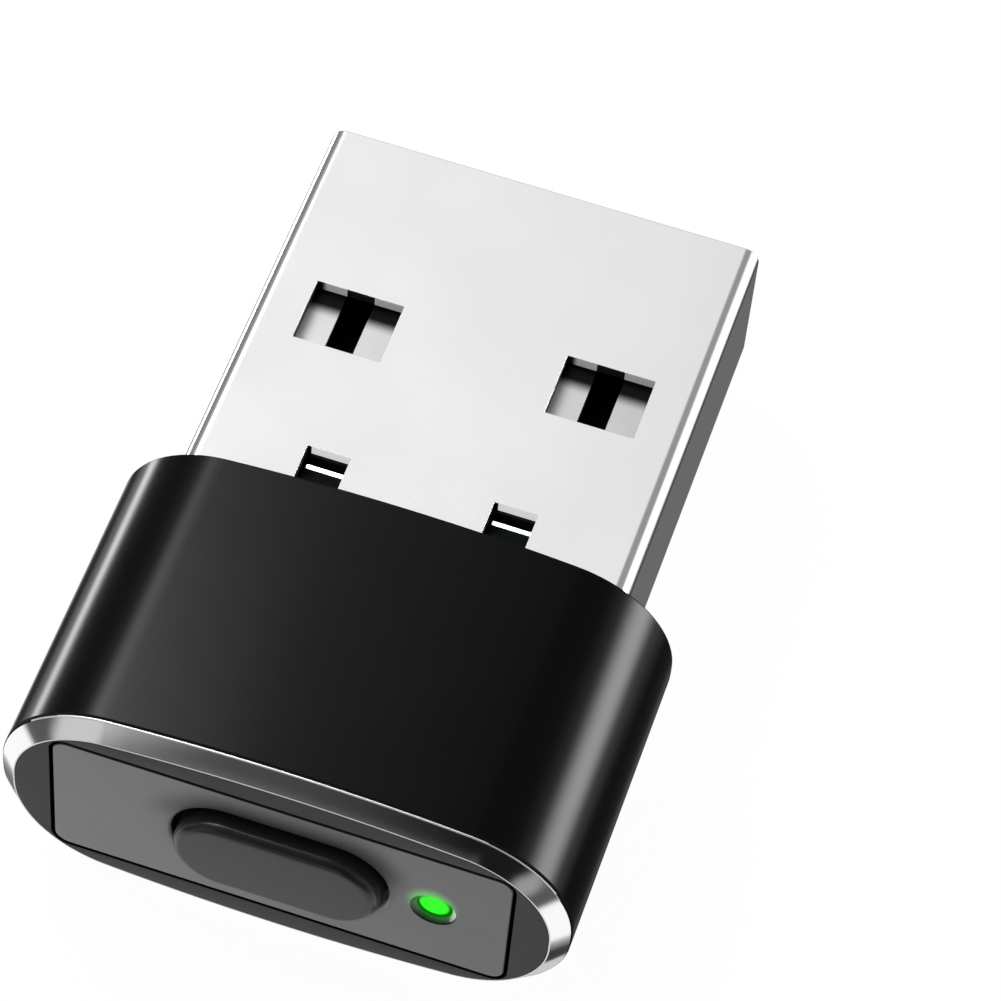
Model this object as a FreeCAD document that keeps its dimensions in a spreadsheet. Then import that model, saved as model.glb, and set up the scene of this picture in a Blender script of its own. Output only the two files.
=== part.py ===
import FreeCAD, Part
import math
import os
from types import SimpleNamespace
import Sketcher
from FreeCAD import Rotation, Vector

# A plug-in mouse jiggler: a standard A plug that stands out of a short metal
# sleeve, with a push button and a lamp in the sleeve's far end.
# Row frame, millimetres: X across the plug, +Y out of the plug's mouth, +Z up.
# The origin is the middle of the plug where it leaves the sleeve.

SIZES = [
    # the standard plug
    ("plug_half_width", 6.0, "half the outside width of the plug shell"),
    ("plug_half_height", 2.25, "half the outside height of the plug shell"),
    ("plug_length", 12.05, "shoulder of the sleeve to the tip of the shell"),
    ("plug_corner", 0.42, "outside corner radius of the shell"),
    ("tip_round", 0.12, "rounded edge of the shell's mouth"),
    ("sheet", 0.30, "thickness of the shell's steel sheet"),
    ("shell_tail", 2.0, "length of the shell inside the sleeve"),
    ("seam_width", 0.06, "butt seam where the rolled sheet meets itself"),
    ("window_inner", 2.25, "middle of the plug to a latch window"),
    ("window_width", 2.40, "latch window across the plug"),
    ("window_from_tip", 5.12, "tip to the latch windows"),
    ("window_length", 1.96, "latch window along the plug"),
    ("notch_inner", 1.93, "middle of the plug to a notch at the shoulder"),
    ("notch_width", 1.17, "notch across the plug"),
    ("notch_reach", 1.80, "shoulder to the notch's far edge"),
    ("notch_tail", 0.20, "how far a notch runs on behind the shoulder"),
    ("tab_side_gap", 0.06, "slit on each side of the bent tab in a notch"),
    ("tab_end_gap", 0.20, "tab's lip to the notch's far edge"),
    ("tab_lip", 0.18, "flat lip at the end of the tab"),
    ("tab_drop", 0.50, "how far the tab is bent inwards"),
    ("tab_straight", 0.15, "straight start of the tab past the shoulder"),
    ("side_slit_height", 0.50, "slit in each side of the shell at the shoulder"),
    ("side_slit_reach", 0.35, "how far the side slit stands out of the sleeve"),
    # plastic and contacts inside the plug
    ("shell_fit", 0.04, "clearance of the plastic inside the shell"),
    ("spacer_gap", 0.16, "board's front edge to the rear spacer"),
    ("spacer_length", 1.24, "rear spacer along the plug"),
    ("block_length", 1.50, "insulator's block along the plug"),
    ("tongue_setback", 0.40, "tip of the shell to the tip of the tongue"),
    ("tongue_side", 0.15, "tongue's side to the inside of the shell"),
    ("tongue_under", 0.05, "underside of the tongue above the plug's middle"),
    ("tongue_round", 0.25, "rounded front edge of the tongue"),
    ("slot_shift", 0.05, "outer mould slot nearer the middle than its contact"),
    ("slot_width", 0.77, "mould slot in the back of the tongue"),
    ("slot_depth", 1.20, "depth of a mould slot"),
    ("slot_from_tip", 2.85, "tip to the far end of the mould slots"),
    ("slot_length", 5.20, "mould slot along the plug"),
    ("contact_inner", 1.0, "middle of the plug to a data contact"),
    ("contact_outer", 3.5, "middle of the plug to a power contact"),
    ("contact_width", 1.0, "width of each contact"),
    ("contact_thick", 0.25, "thickness of each contact"),
    ("contact_proud", 0.07, "contact stands below the tongue"),
    ("contact_fit", 0.02, "clearance around a contact in its channel"),
    ("power_setback", 1.20, "tip to the front of a power contact"),
    ("data_setback", 2.20, "tip to the front of a data contact"),
    ("contact_bend", 0.40, "bend of a contact behind the board's front edge"),
    ("contact_foot", 0.90, "soldered foot of a contact"),
    # the sleeve
    ("sleeve_side_margin", 1.42, "sleeve's side outside the plug's side"),
    ("sleeve_top_margin", 1.21, "sleeve's top above the plug's top"),
    ("sleeve_side_flat", 0.16, "half the straight part between two side arcs"),
    ("sleeve_crown", 0.22, "bulge of the sleeve's top above its round sides"),
    ("sleeve_length", 8.80, "length of the sleeve"),
    ("sleeve_wall", 0.80, "wall of the sleeve around the works"),
    ("rim_wall", 0.46, "wall of the sleeve around the end frame"),
    ("chamfer_depth", 0.39, "bright chamfer along the sleeve"),
    ("chamfer_width", 0.44, "bright chamfer across the sleeve's wall"),
    ("front_wall", 1.10, "end wall of the sleeve around the plug"),
    ("mouth_round", 0.05, "rounded edge at the plug end of the sleeve"),
    ("seat_gap", 0.02, "bonded gap around the end frame"),
    # the end: frame, plate, button and lamp
    ("frame_depth", 1.40, "thickness of the end frame"),
    ("plate_side_margin", 1.49, "face plate's side inside the sleeve's side"),
    ("plate_top_margin", 1.19, "face plate's top below the sleeve's top"),
    ("plate_corner", 0.40, "corner radius of the face plate"),
    ("plate_thick", 0.60, "thickness of the face plate"),
    ("plate_gap", 0.09, "visible gap around the face plate"),
    ("well_lamp_web", 1.18, "lamp to the end of the button's well"),
    ("well_top_margin", 0.86, "well's top below the face plate's top"),
    ("well_round", 0.12, "rounded edge of the button's well"),
    ("button_gap", 0.13, "gap between the button and its well"),
    ("button_proud", 0.48, "button above the face plate"),
    ("button_round", 0.26, "rounded edge of the button's face"),
    ("button_travel", 0.25, "stroke of the button"),
    ("flange_lip", 0.53, "button's flange outside the button"),
    ("flange_thick", 0.38, "thickness of the button's flange"),
    ("flange_gap", 0.03, "flange to the back of the face plate at rest"),
    ("flange_clear", 0.08, "flange to the end frame around it"),
    ("stem_radius", 0.60, "stem that reaches the switch"),
    ("stem_gap", 0.01, "stem to the switch's plunger at rest"),
    ("lamp_margin", 1.94, "lamp to the face plate's side"),
    ("lamp_radius", 0.45, "radius of the light pipe"),
    ("lamp_setback", 0.14, "light pipe's tip behind the plate's face"),
    ("lamp_dome", 0.12, "rounded edge of the light pipe's tip"),
    ("lamp_fit", 0.02, "clearance around the light pipe"),
    ("lamp_sink_radius", 0.58, "radius of the countersink around the lamp"),
    ("pipe_block_half", 0.62, "half the width of the light pipe's foot"),
    ("pipe_block_top", 0.60, "top of the light pipe's foot above the middle"),
    ("pipe_block_length", 0.80, "length of the light pipe's foot"),
    # the board and what it carries
    ("board_side_gap", 0.20, "board's side to the inside of the shell"),
    ("board_floor_gap", 0.15, "board's underside to the inside of the shell"),
    ("board_thick", 0.80, "thickness of the circuit board"),
    ("board_front", 1.60, "shoulder to the board's front edge"),
    ("board_back_gap", 0.25, "board's back edge to the end frame"),
    ("board_corner", 0.40, "corner radius of the board"),
    ("switch_half_width", 2.20, "half the width of the switch"),
    ("switch_height", 2.00, "height of the switch above the board"),
    ("switch_depth", 1.90, "depth of the switch housing"),
    ("switch_cavity", 0.85, "radius of the cavity in the switch"),
    ("cavity_depth", 1.20, "depth of the cavity in the switch"),
    ("cover_thick", 0.18, "thickness of the switch's steel cover"),
    ("plunger_radius", 0.50, "radius of the plunger's nose"),
    ("plunger_fit", 0.06, "clearance around the plunger"),
    ("plunger_nose", 0.50, "plunger's nose in front of the cover"),
    ("plunger_flange", 0.72, "radius of the plunger's inner flange"),
    ("plunger_flange_thick", 0.40, "thickness of the plunger's inner flange"),
    ("dome_radius", 0.76, "radius of the snap dome"),
    ("dome_height", 0.42, "height of the snap dome"),
    ("dome_thick", 0.07, "thickness of the snap dome"),
    ("dome_gap", 0.01, "dome to the plunger and to its seat"),
    ("terminal_width", 0.70, "width of a switch terminal"),
    ("terminal_thick", 0.15, "thickness of a switch terminal"),
    ("terminal_reach", 0.70, "terminal's foot behind the switch"),
    ("chip_half", 1.50, "half the side of the controller chip"),
    ("chip_height", 0.75, "height of the controller chip"),
    ("chip_dot", 0.20, "radius of the dimple that marks the chip's first pin"),
    ("chip_dot_depth", 0.08, "depth of that dimple"),
    ("chip_dot_inset", 0.40, "dimple to the chip's sides"),
    ("chip_x", 0.40, "controller chip left of the middle"),
    ("chip_gap", 0.55, "contact feet to the controller chip"),
    ("crystal_width", 1.60, "crystal across the board"),
    ("crystal_length", 2.00, "crystal along the board"),
    ("crystal_height", 0.55, "height of the crystal can"),
    ("crystal_round", 0.15, "rounded edges of the crystal can"),
    ("crystal_spacing", 0.60, "chip to the crystal"),
    ("regulator_width", 1.30, "regulator across the board"),
    ("regulator_length", 2.90, "regulator along the board"),
    ("regulator_height", 1.00, "height of the regulator"),
    ("regulator_spacing", 0.60, "chip to the regulator"),
    ("lead_pitch", 0.95, "pitch of the regulator's leads"),
    ("lead_width", 0.40, "width of a regulator lead"),
    ("lead_reach", 0.40, "length of a regulator lead"),
    ("lead_thick", 0.15, "thickness of a regulator lead"),
    ("chip_part_length", 1.00, "length of a small surface part"),
    ("chip_part_width", 0.50, "width of a small surface part"),
    ("chip_part_height", 0.45, "height of a small surface part"),
    ("chip_part_pitch", 0.85, "pitch of a row of small surface parts"),
    ("chip_part_edge", 0.15, "small surface parts to the rail beside them"),
    ("led_half_width", 0.80, "half the width of the lamp diode"),
    ("led_depth", 0.80, "depth of the lamp diode"),
    ("led_height", 1.05, "height of the lamp diode"),
    ("led_dish", 0.26, "radius of the lit dish in the diode"),
    ("led_gap", 0.12, "lamp diode to the light pipe"),
    # the two halves that hold board and plug in the sleeve
    ("carrier_fit", 0.04, "clearance around the carrier halves"),
    ("carrier_split", 0.03, "gap between the carrier halves"),
    ("board_fit", 0.05, "clearance around the board"),
    ("tail_fit", 0.04, "clearance around the shell's tail"),
    ("floor_groove", 1.20, "half the width of the groove under the board"),
    ("floor_skin", 0.20, "floor left under that groove"),
    ("rail_width", 0.45, "rail that holds the board's edge down"),
    ("roof", 0.80, "thickness of the upper half over the works"),
]


class Size:
    """A length that keeps its number and the sheet expression it comes from."""

    def __init__(self, number, text):
        self.number = number
        self.text = text

    @staticmethod
    def of(value):
        return value if isinstance(value, Size) else Size(float(value), repr(float(value)))

    def __add__(self, other):
        other = Size.of(other)
        return Size(self.number + other.number, f"({self.text} + {other.text})")

    def __sub__(self, other):
        other = Size.of(other)
        return Size(self.number - other.number, f"({self.text} - {other.text})")

    def __mul__(self, other):
        other = Size.of(other)
        return Size(self.number * other.number, f"({self.text} * {other.text})")

    def __truediv__(self, other):
        other = Size.of(other)
        return Size(self.number / other.number, f"({self.text} / {other.text})")

    def __neg__(self):
        return Size(-self.number, f"(-1 * {self.text})")

    def __rsub__(self, other):
        return Size.of(other) - self

    __radd__ = __add__
    __rmul__ = __mul__

    def arcsine(self):
        """The angle, in degrees, whose sine this ratio is."""
        return Size(math.degrees(math.asin(self.number)), f"asin({self.text})")


doc = FreeCAD.newDocument("mouse_jiggler")
sheet = doc.addObject("Spreadsheet::Sheet", "sizes")
for row, (alias, value, meaning) in enumerate(SIZES, start=1):
    sheet.set(f"A{row}", alias)
    sheet.set(f"B{row}", str(value))
    sheet.set(f"C{row}", meaning)
    sheet.setAlias(f"B{row}", alias)
doc.recompute()
d = SimpleNamespace(**{
    alias: Size(float(sheet.get(alias)), f"sizes.{alias}") for alias, value, meaning in SIZES
})

ZERO = Size.of(0)
ORIGIN = -1          # Sketcher's own number for the origin
START, END, CENTRE = 1, 2, 3
AIR = Size.of(1)     # how far a cutting tool reaches past the solid
nodes = []           # every finished sub-part, in the order it was made


# ---------------------------------------------------------------- sketches

def bind(sketch, constraint, size):
    """Add a dimension and tie it to the sheet."""
    index = sketch.addConstraint(constraint)
    sketch.setExpression(f"Constraints[{index}]", size.text)


def fix_point(sketch, shape, point, across, up):
    """Hold a point of a shape at two distances from the sketch's origin."""
    bind(sketch, Sketcher.Constraint("DistanceX", ORIGIN, 1, shape, point, across.number), across)
    bind(sketch, Sketcher.Constraint("DistanceY", ORIGIN, 1, shape, point, up.number), up)


def polygon(sketch, corners):
    """A closed outline of straight lines through the given corners."""
    places = [Vector(x.number, y.number, 0) for x, y in corners]
    ends = places[1:] + places[:1]
    lines = [sketch.addGeometry(Part.LineSegment(a, b)) for a, b in zip(places, ends)]
    for line, following in zip(lines, lines[1:] + lines[:1]):
        sketch.addConstraint(Sketcher.Constraint("Coincident", line, END, following, START))
    for line, (x, y) in zip(lines, corners):
        fix_point(sketch, line, START, x, y)


def rectangle(sketch, left, right, bottom, top):
    polygon(sketch, [(left, bottom), (right, bottom), (right, top), (left, top)])


def circle(sketch, x, y, radius):
    centre = Vector(x.number, y.number, 0)
    ring = sketch.addGeometry(Part.Circle(centre, Vector(0, 0, 1), radius.number))
    bind(sketch, Sketcher.Constraint("Radius", ring, radius.number), radius)
    fix_point(sketch, ring, CENTRE, x, y)


def arc(sketch, x, y, radius, first, last):
    """An arc about (x, y), anticlockwise from angle first to angle last."""
    ring = Part.Circle(Vector(x, y, 0), Vector(0, 0, 1), radius)
    return sketch.addGeometry(Part.ArcOfCircle(ring, first, last))


def join_smoothly(sketch, chain):
    """Make each shape of a closed chain tangent to the next at their shared end."""
    for one, following in zip(chain, chain[1:] + chain[:1]):
        sketch.addConstraint(Sketcher.Constraint("Tangent", one, END, following, START))


def obround(sketch, half_length, radius, x=ZERO, y=ZERO):
    """A slot shape along the sketch's X: two half circles and two straights."""
    reach = half_length - radius
    right = x + reach
    left = x - reach
    quarter = math.pi / 2
    top = y.number + radius.number
    bottom = y.number - radius.number
    chain = [
        arc(sketch, right.number, y.number, radius.number, -quarter, quarter),
        sketch.addGeometry(Part.LineSegment(Vector(right.number, top, 0), Vector(left.number, top, 0))),
        arc(sketch, left.number, y.number, radius.number, quarter, 3 * quarter),
        sketch.addGeometry(Part.LineSegment(Vector(left.number, bottom, 0),
                                            Vector(right.number, bottom, 0))),
    ]
    join_smoothly(sketch, chain)
    bind(sketch, Sketcher.Constraint("Radius", chain[0], radius.number), radius)
    sketch.addConstraint(Sketcher.Constraint("Equal", chain[0], chain[2]))
    fix_point(sketch, chain[0], CENTRE, right, y)
    fix_point(sketch, chain[2], CENTRE, left, y)


def rounded_rectangle(sketch, half_width, half_height, radius):
    """A rectangle about the origin with four equal round corners."""
    w, h, r = half_width.number, half_height.number, radius.number
    quarter = math.pi / 2
    straights = [
        ((w, -h + r), (w, h - r)),
        ((w - r, h), (-w + r, h)),
        ((-w, h - r), (-w, -h + r)),
        ((-w + r, -h), (w - r, -h)),
    ]
    centres = [(w - r, h - r), (-w + r, h - r), (-w + r, -h + r), (w - r, -h + r)]
    chain = []
    for turn, ((start, end), (x, y)) in enumerate(zip(straights, centres)):
        chain.append(sketch.addGeometry(Part.LineSegment(Vector(*start, 0), Vector(*end, 0))))
        chain.append(arc(sketch, x, y, r, turn * quarter, (turn + 1) * quarter))
    join_smoothly(sketch, chain)
    for line, kind in zip(chain[::2], ("Vertical", "Horizontal", "Vertical", "Horizontal")):
        sketch.addConstraint(Sketcher.Constraint(kind, line))
    for line, axis, size in zip(chain[::2], ("DistanceX", "DistanceY", "DistanceX", "DistanceY"),
                                (half_width, half_height, -half_width, -half_height)):
        bind(sketch, Sketcher.Constraint(axis, ORIGIN, 1, line, START, size.number), size)
    bind(sketch, Sketcher.Constraint("Radius", chain[1], r), radius)
    for corner in chain[3::2]:
        sketch.addConstraint(Sketcher.Constraint("Equal", chain[1], corner))


def sleeve_section(sketch, inset):
    """The sleeve's outline, moved inwards by inset: bulged top and bottom, round sides."""
    half_width = sleeve_half_width - inset
    half_height = sleeve_half_height - inset
    flat = d.sleeve_side_flat
    rise = half_height - flat
    side = rise - d.sleeve_crown
    reach = half_width - side
    crown = (reach * reach + rise * rise - side * side) / (2 * d.sleeve_crown)
    a, v, r, big = half_width.number, flat.number, side.number, crown.number
    low = half_height.number - big
    turn = math.atan2(v - low, a - r)
    half = math.pi
    chain = [
        sketch.addGeometry(Part.LineSegment(Vector(a, -v, 0), Vector(a, v, 0))),
        arc(sketch, a - r, v, r, 0, turn),
        arc(sketch, 0, low, big, turn, half - turn),
        arc(sketch, r - a, v, r, half - turn, half),
        sketch.addGeometry(Part.LineSegment(Vector(-a, v, 0), Vector(-a, -v, 0))),
        arc(sketch, r - a, -v, r, half, half + turn),
        arc(sketch, 0, -low, big, half + turn, 2 * half - turn),
        arc(sketch, a - r, -v, r, 2 * half - turn, 2 * half),
    ]
    join_smoothly(sketch, chain)
    fix_point(sketch, chain[0], START, half_width, -flat)
    fix_point(sketch, chain[0], END, half_width, flat)
    fix_point(sketch, chain[4], START, -half_width, flat)
    fix_point(sketch, chain[4], END, -half_width, -flat)
    for side_arc in (chain[1], chain[3], chain[5], chain[7]):
        bind(sketch, Sketcher.Constraint("Radius", side_arc, r), side)
    for crown_arc in (chain[2], chain[6]):
        bind(sketch, Sketcher.Constraint("Radius", crown_arc, big), crown)


# ---------------------------------------------------------------- bodies

class Piece:
    """One sub-part made of sketches that are padded or cut along a plane's normal.

    Across ("XZ") works towards -Y, flat ("XY") towards +Z, side ("YZ") towards +X.
    """

    def __init__(self, label):
        self.body = doc.addObject("PartDesign::Body", label)
        self.body.Label = label
        nodes.append(self.body)

    def sketch(self, plane, at):
        made = self.body.newObject("Sketcher::SketchObject", f"{self.body.Label}_sketch")
        role = f"{plane}_Plane"
        support = [item for item in self.body.Origin.OriginFeatures if item.Role == role][0]
        made.AttachmentSupport = (support, "")
        made.MapMode = "FlatFace"
        offset = -at if plane == "XZ" else at
        made.setExpression("AttachmentOffset.Base.z", offset.text)
        return made

    def _extrude(self, kind, plane, at, length, outline, *shape):
        profile = self.sketch(plane, at)
        outline(profile, *shape)
        feature = self.body.newObject(kind, f"{self.body.Label}_{kind.split('::')[1].lower()}")
        feature.Profile = profile
        feature.setExpression("Length", length.text)
        if kind == "PartDesign::Pocket":
            feature.Reversed = True
        profile.Visibility = False
        return feature

    def add(self, plane, at, length, outline, *shape):
        """Pad an outline that starts at a coordinate along the plane's normal."""
        self._extrude("PartDesign::Pad", plane, at, length, outline, *shape)
        doc.recompute()
        return self

    def cut(self, plane, at, length, outline, *shape):
        """Cut an outline away, and make sure that it removed something."""
        before = self.body.Shape.Volume
        self._extrude("PartDesign::Pocket", plane, at, length, outline, *shape)
        doc.recompute()
        if not self.body.Shape.Volume < before:
            raise RuntimeError(f"a cut in {self.body.Label} removed nothing")
        return self

    def _dress(self, kind, test):
        shape = self.body.Shape
        names = [f"Edge{n}" for n, edge in enumerate(shape.Edges, start=1) if test(edge)]
        if not names:
            raise RuntimeError(f"no edge to dress in {self.body.Label}")
        tip = self.body.Tip
        feature = self.body.newObject(kind, f"{self.body.Label}_{kind.split('::')[1].lower()}")
        feature.Base = (tip, names)
        return feature

    def fillet(self, radius, test):
        feature = self._dress("PartDesign::Fillet", test)
        feature.setExpression("Radius", radius.text)
        doc.recompute()
        return self

    def chamfer(self, size, size2, test):
        """A chamfer with two widths."""
        feature = self._dress("PartDesign::Chamfer", test)
        feature.ChamferType = "Two distances"
        feature.setExpression("Size", size.text)
        feature.setExpression("Size2", size2.text)
        doc.recompute()
        return self


def on_plane(axis, at):
    """A test for edges that lie wholly in the plane where a coordinate is at."""
    place = at.number

    def test(edge):
        first, last = edge.ParameterRange
        points = [edge.valueAt(first + (last - first) * share) for share in (0, 0.5, 1)]
        return all(abs(getattr(point, axis) - place) < 1e-5 for point in points)

    return test


def along(axis):
    """A test for straight edges that run along an axis."""
    def test(edge):
        if not isinstance(edge.Curve, Part.Line):
            return False
        return abs(abs(getattr(edge.Curve.Direction, axis)) - 1) < 1e-6

    return test


def both(*tests):
    return lambda edge: all(test(edge) for test in tests)


def either(*tests):
    return lambda edge: any(test(edge) for test in tests)


def box(name, left, right, back, front, bottom, top):
    """A plain block between three pairs of coordinates."""
    block = doc.addObject("Part::Box", name)
    for side, low, high in (("Length", left, right), ("Width", back, front), ("Height", bottom, top)):
        block.setExpression(side, (high - low).text)
    for axis, low in (("x", left), ("y", back), ("z", bottom)):
        block.setExpression(f"Placement.Base.{axis}", low.text)
    return block


def group(label, members):
    """Separate solids that share one node."""
    made = doc.addObject("Part::Compound", label)
    made.Label = label
    made.Links = members
    nodes.append(made)
    return made


def fuse(label, members):
    made = doc.addObject("Part::MultiFuse", label)
    made.Label = label
    made.Shapes = members
    return made


# ---------------------------------------------------------------- places

sleeve_half_width = d.plug_half_width + d.sleeve_side_margin
sleeve_half_height = d.plug_half_height + d.sleeve_top_margin
plate_half_width = sleeve_half_width - d.plate_side_margin
plate_half_height = sleeve_half_height - d.plate_top_margin
lamp_x = plate_half_width - d.lamp_margin
well_half_width = lamp_x - d.well_lamp_web
well_half_height = plate_half_height - d.well_top_margin
tip = d.plug_length
rear = -d.sleeve_length
plate_back = rear + d.plate_thick
frame_back = rear + d.frame_depth
shell_inside_x = d.plug_half_width - d.sheet
shell_inside_z = d.plug_half_height - d.sheet
plastic_x = shell_inside_x - d.shell_fit
plastic_z = shell_inside_z - d.shell_fit
board_half_width = shell_inside_x - d.board_side_gap
spacer_back = d.board_front + d.spacer_gap
block_back = spacer_back + d.spacer_length
block_front = block_back + d.block_length
board_under = d.board_floor_gap - shell_inside_z
board_top = board_under + d.board_thick
board_back = frame_back + d.board_back_gap
contact_under = d.tongue_under - d.contact_proud
contact_over = contact_under + d.contact_thick
contact_bend = d.board_front - d.contact_bend
foot_end = contact_bend - d.contact_foot

button_half_width = well_half_width - d.button_gap
button_half_height = well_half_height - d.button_gap
flange_half_width = button_half_width + d.flange_lip
flange_half_height = button_half_height + d.flange_lip
flange_outer = plate_back + d.flange_gap
flange_inner = flange_outer + d.flange_thick

switch_room = d.button_travel + d.flange_clear
stem_end = flange_inner + switch_room
plunger_tip = stem_end + d.stem_gap
cover_face = plunger_tip + d.plunger_nose
housing_face = cover_face + d.cover_thick
housing_back = housing_face + d.switch_depth
cavity_floor = housing_face + d.cavity_depth
dome_rim = cavity_floor - d.dome_gap
dome_top = dome_rim - d.dome_height
plunger_end = dome_top - d.dome_gap
switch_top = board_top + d.switch_height
switch_middle = board_top + d.switch_height / 2

CONTACTS = {
    "contact_power": (-d.contact_outer, d.power_setback),
    "contact_data_minus": (-d.contact_inner, d.data_setback),
    "contact_data_plus": (d.contact_inner, d.data_setback),
    "contact_ground": (d.contact_outer, d.power_setback),
}


# ---------------------------------------------------------------- the plug

def tab_profile(sketch):
    """Side view of a tab that is bent inwards out of the shell's top sheet."""
    top = d.plug_half_height
    end = d.notch_reach - d.tab_end_gap
    knee = end - d.tab_lip
    line = [(-d.notch_tail, top), (d.tab_straight, top), (knee, top - d.tab_drop), (end, top - d.tab_drop)]
    below = [(y, z - d.sheet) for y, z in reversed(line)]
    polygon(sketch, line + below)


def make_plug_shell():
    shell = Piece("plug_shell")
    length = d.plug_length + d.shell_tail
    shell.add("XZ", tip, length, rounded_rectangle, d.plug_half_width, d.plug_half_height, d.plug_corner)
    shell.fillet(d.tip_round, on_plane("y", tip))
    shell.cut("XZ", tip + AIR, length + 2 * AIR, rounded_rectangle,
              shell_inside_x, shell_inside_z, d.plug_corner - d.sheet)
    window_front = tip - d.window_from_tip
    window_back = window_front - d.window_length
    over = d.plug_half_height + AIR
    for side in (-1, 1):
        near, far = side * d.window_inner, side * (d.window_inner + d.window_width)
        shell.cut("XY", -over, 2 * over, rectangle, min(near, far, key=number),
                  max(near, far, key=number), window_back, window_front)
    for side in (-1, 1):
        near, far = side * d.notch_inner, side * (d.notch_inner + d.notch_width)
        left, right = sorted((near, far), key=number)
        shell.cut("XY", shell_inside_z, d.sheet + AIR, rectangle, left, right,
                  -d.notch_tail, d.notch_reach)
        shell.add("YZ", left + d.tab_side_gap, d.notch_width - 2 * d.tab_side_gap, tab_profile)
    shell.cut("YZ", -(d.plug_half_width + AIR), 2 * (d.plug_half_width + AIR), rectangle,
              -d.notch_tail, d.side_slit_reach,
              -d.side_slit_height / 2, d.side_slit_height / 2)
    shell.cut("XY", -over, AIR + d.sheet, rectangle, -d.seam_width / 2, d.seam_width / 2,
              -(d.shell_tail + AIR), tip + AIR)


def number(size):
    return size.number


def contact_channels(piece, back, front_of):
    """Channels for the contacts, from a back plane towards the plug's mouth."""
    half = d.contact_width / 2 + d.contact_fit
    for middle, setback in CONTACTS.values():
        front = front_of(setback)
        piece.cut("XZ", front, front - back + AIR, rectangle, middle - half, middle + half,
                  contact_under - d.contact_fit, contact_over + d.contact_fit)


def make_plug_insulator():
    insulator = Piece("plug_insulator")
    tongue_x = shell_inside_x - d.tongue_side
    tongue_tip = tip - d.tongue_setback
    insulator.add("XZ", tongue_tip, tongue_tip - block_back, rectangle,
                  -tongue_x, tongue_x, d.tongue_under, plastic_z)
    insulator.fillet(d.tongue_round, on_plane("y", tongue_tip))
    insulator.add("XZ", block_front, block_front - block_back, rounded_rectangle,
                  plastic_x, plastic_z, d.plug_corner - d.sheet)
    contact_channels(insulator, block_back, lambda setback: tip - setback + d.contact_fit)
    half = d.slot_width / 2
    outer = d.contact_outer - d.slot_shift
    slot_front = tip - d.slot_from_tip
    for middle in (-outer, -d.contact_inner, d.contact_inner, outer):
        insulator.cut("XY", plastic_z - d.slot_depth, d.slot_depth + AIR, rectangle,
                      middle - half, middle + half, slot_front - d.slot_length, slot_front)


def make_contact_spacer():
    spacer = Piece("contact_spacer")
    spacer.add("XZ", block_back, block_back - spacer_back, rounded_rectangle,
               plastic_x, plastic_z, d.plug_corner - d.sheet)
    contact_channels(spacer, spacer_back, lambda setback: block_back + AIR)


def make_contacts():
    for label, (middle, setback) in CONTACTS.items():
        front = tip - setback
        contact = Piece(label)
        contact.add("YZ", middle - d.contact_width / 2, d.contact_width, polygon, [
            (foot_end, board_top),
            (contact_bend, board_top),
            (contact_bend, contact_under),
            (front, contact_under),
            (front, contact_over),
            (contact_bend - d.contact_thick, contact_over),
            (contact_bend - d.contact_thick, board_top + d.contact_thick),
            (foot_end, board_top + d.contact_thick),
        ])
        contact.fillet(d.contact_thick / 2, both(on_plane("y", front), on_plane("z", contact_under)))


# ---------------------------------------------------------------- the case

def make_sleeve():
    sleeve = Piece("sleeve")
    sleeve.add("XZ", ZERO, d.sleeve_length, sleeve_section, ZERO)
    sleeve.fillet(d.mouth_round, on_plane("y", ZERO))
    sleeve.chamfer(d.chamfer_depth, d.chamfer_width, on_plane("y", rear))
    sleeve.cut("XZ", -d.front_wall, d.sleeve_length + AIR, sleeve_section, d.sleeve_wall)
    sleeve.cut("XZ", AIR, AIR + d.shell_tail + d.tail_fit, rounded_rectangle,
               d.plug_half_width + d.tail_fit, d.plug_half_height + d.tail_fit,
               d.plug_corner + d.tail_fit)
    sleeve.cut("XZ", frame_back, d.frame_depth + AIR, sleeve_section, d.rim_wall)


def make_end_frame():
    frame = Piece("end_frame")
    frame.add("XZ", frame_back, d.frame_depth, sleeve_section, d.rim_wall + d.seat_gap)
    frame.cut("XZ", plate_back, d.plate_thick + AIR, rounded_rectangle,
              plate_half_width + d.plate_gap, plate_half_height + d.plate_gap,
              d.plate_corner + d.plate_gap)
    frame.cut("XZ", frame_back + AIR, d.frame_depth + 2 * AIR, obround,
              flange_half_width + d.flange_clear, flange_half_height + d.flange_clear)
    frame.cut("XZ", frame_back + AIR, d.frame_depth + 2 * AIR, circle,
              lamp_x, ZERO, d.lamp_radius + d.lamp_fit)


def make_face_plate():
    plate = Piece("face_plate")
    hole = d.lamp_radius + d.lamp_fit
    plate.add("XZ", plate_back, d.plate_thick, rounded_rectangle,
              plate_half_width, plate_half_height, d.plate_corner)
    plate.cut("XZ", plate_back + AIR, d.plate_thick + 2 * AIR, obround,
              well_half_width, well_half_height)
    plate.cut("XZ", plate_back + AIR, d.plate_thick + 2 * AIR, circle, lamp_x, ZERO, hole)

    def lamp_edge(edge):
        return (isinstance(edge.Curve, Part.Circle)
                and abs(edge.Curve.Center.x - lamp_x.number) < 1e-5)

    def well_edge(edge):
        middle = edge.CenterOfMass
        return (abs(middle.x) < well_half_width.number + 1e-5
                and abs(middle.z) < well_half_height.number + 1e-5)

    plate.chamfer(d.lamp_sink_radius - hole, d.lamp_sink_radius - hole,
                  both(on_plane("y", rear), lamp_edge))
    plate.fillet(d.well_round, both(on_plane("y", rear), well_edge))


def make_button_cap():
    cap = Piece("button_cap")
    face = rear - d.button_proud
    cap.add("XZ", flange_outer, flange_outer - face, obround, button_half_width, button_half_height)
    cap.fillet(d.button_round, on_plane("y", face))
    cap.add("XZ", flange_inner, d.flange_thick, obround, flange_half_width, flange_half_height)
    cap.add("XZ", stem_end, switch_room, circle, ZERO, switch_middle, d.stem_radius)


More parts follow.
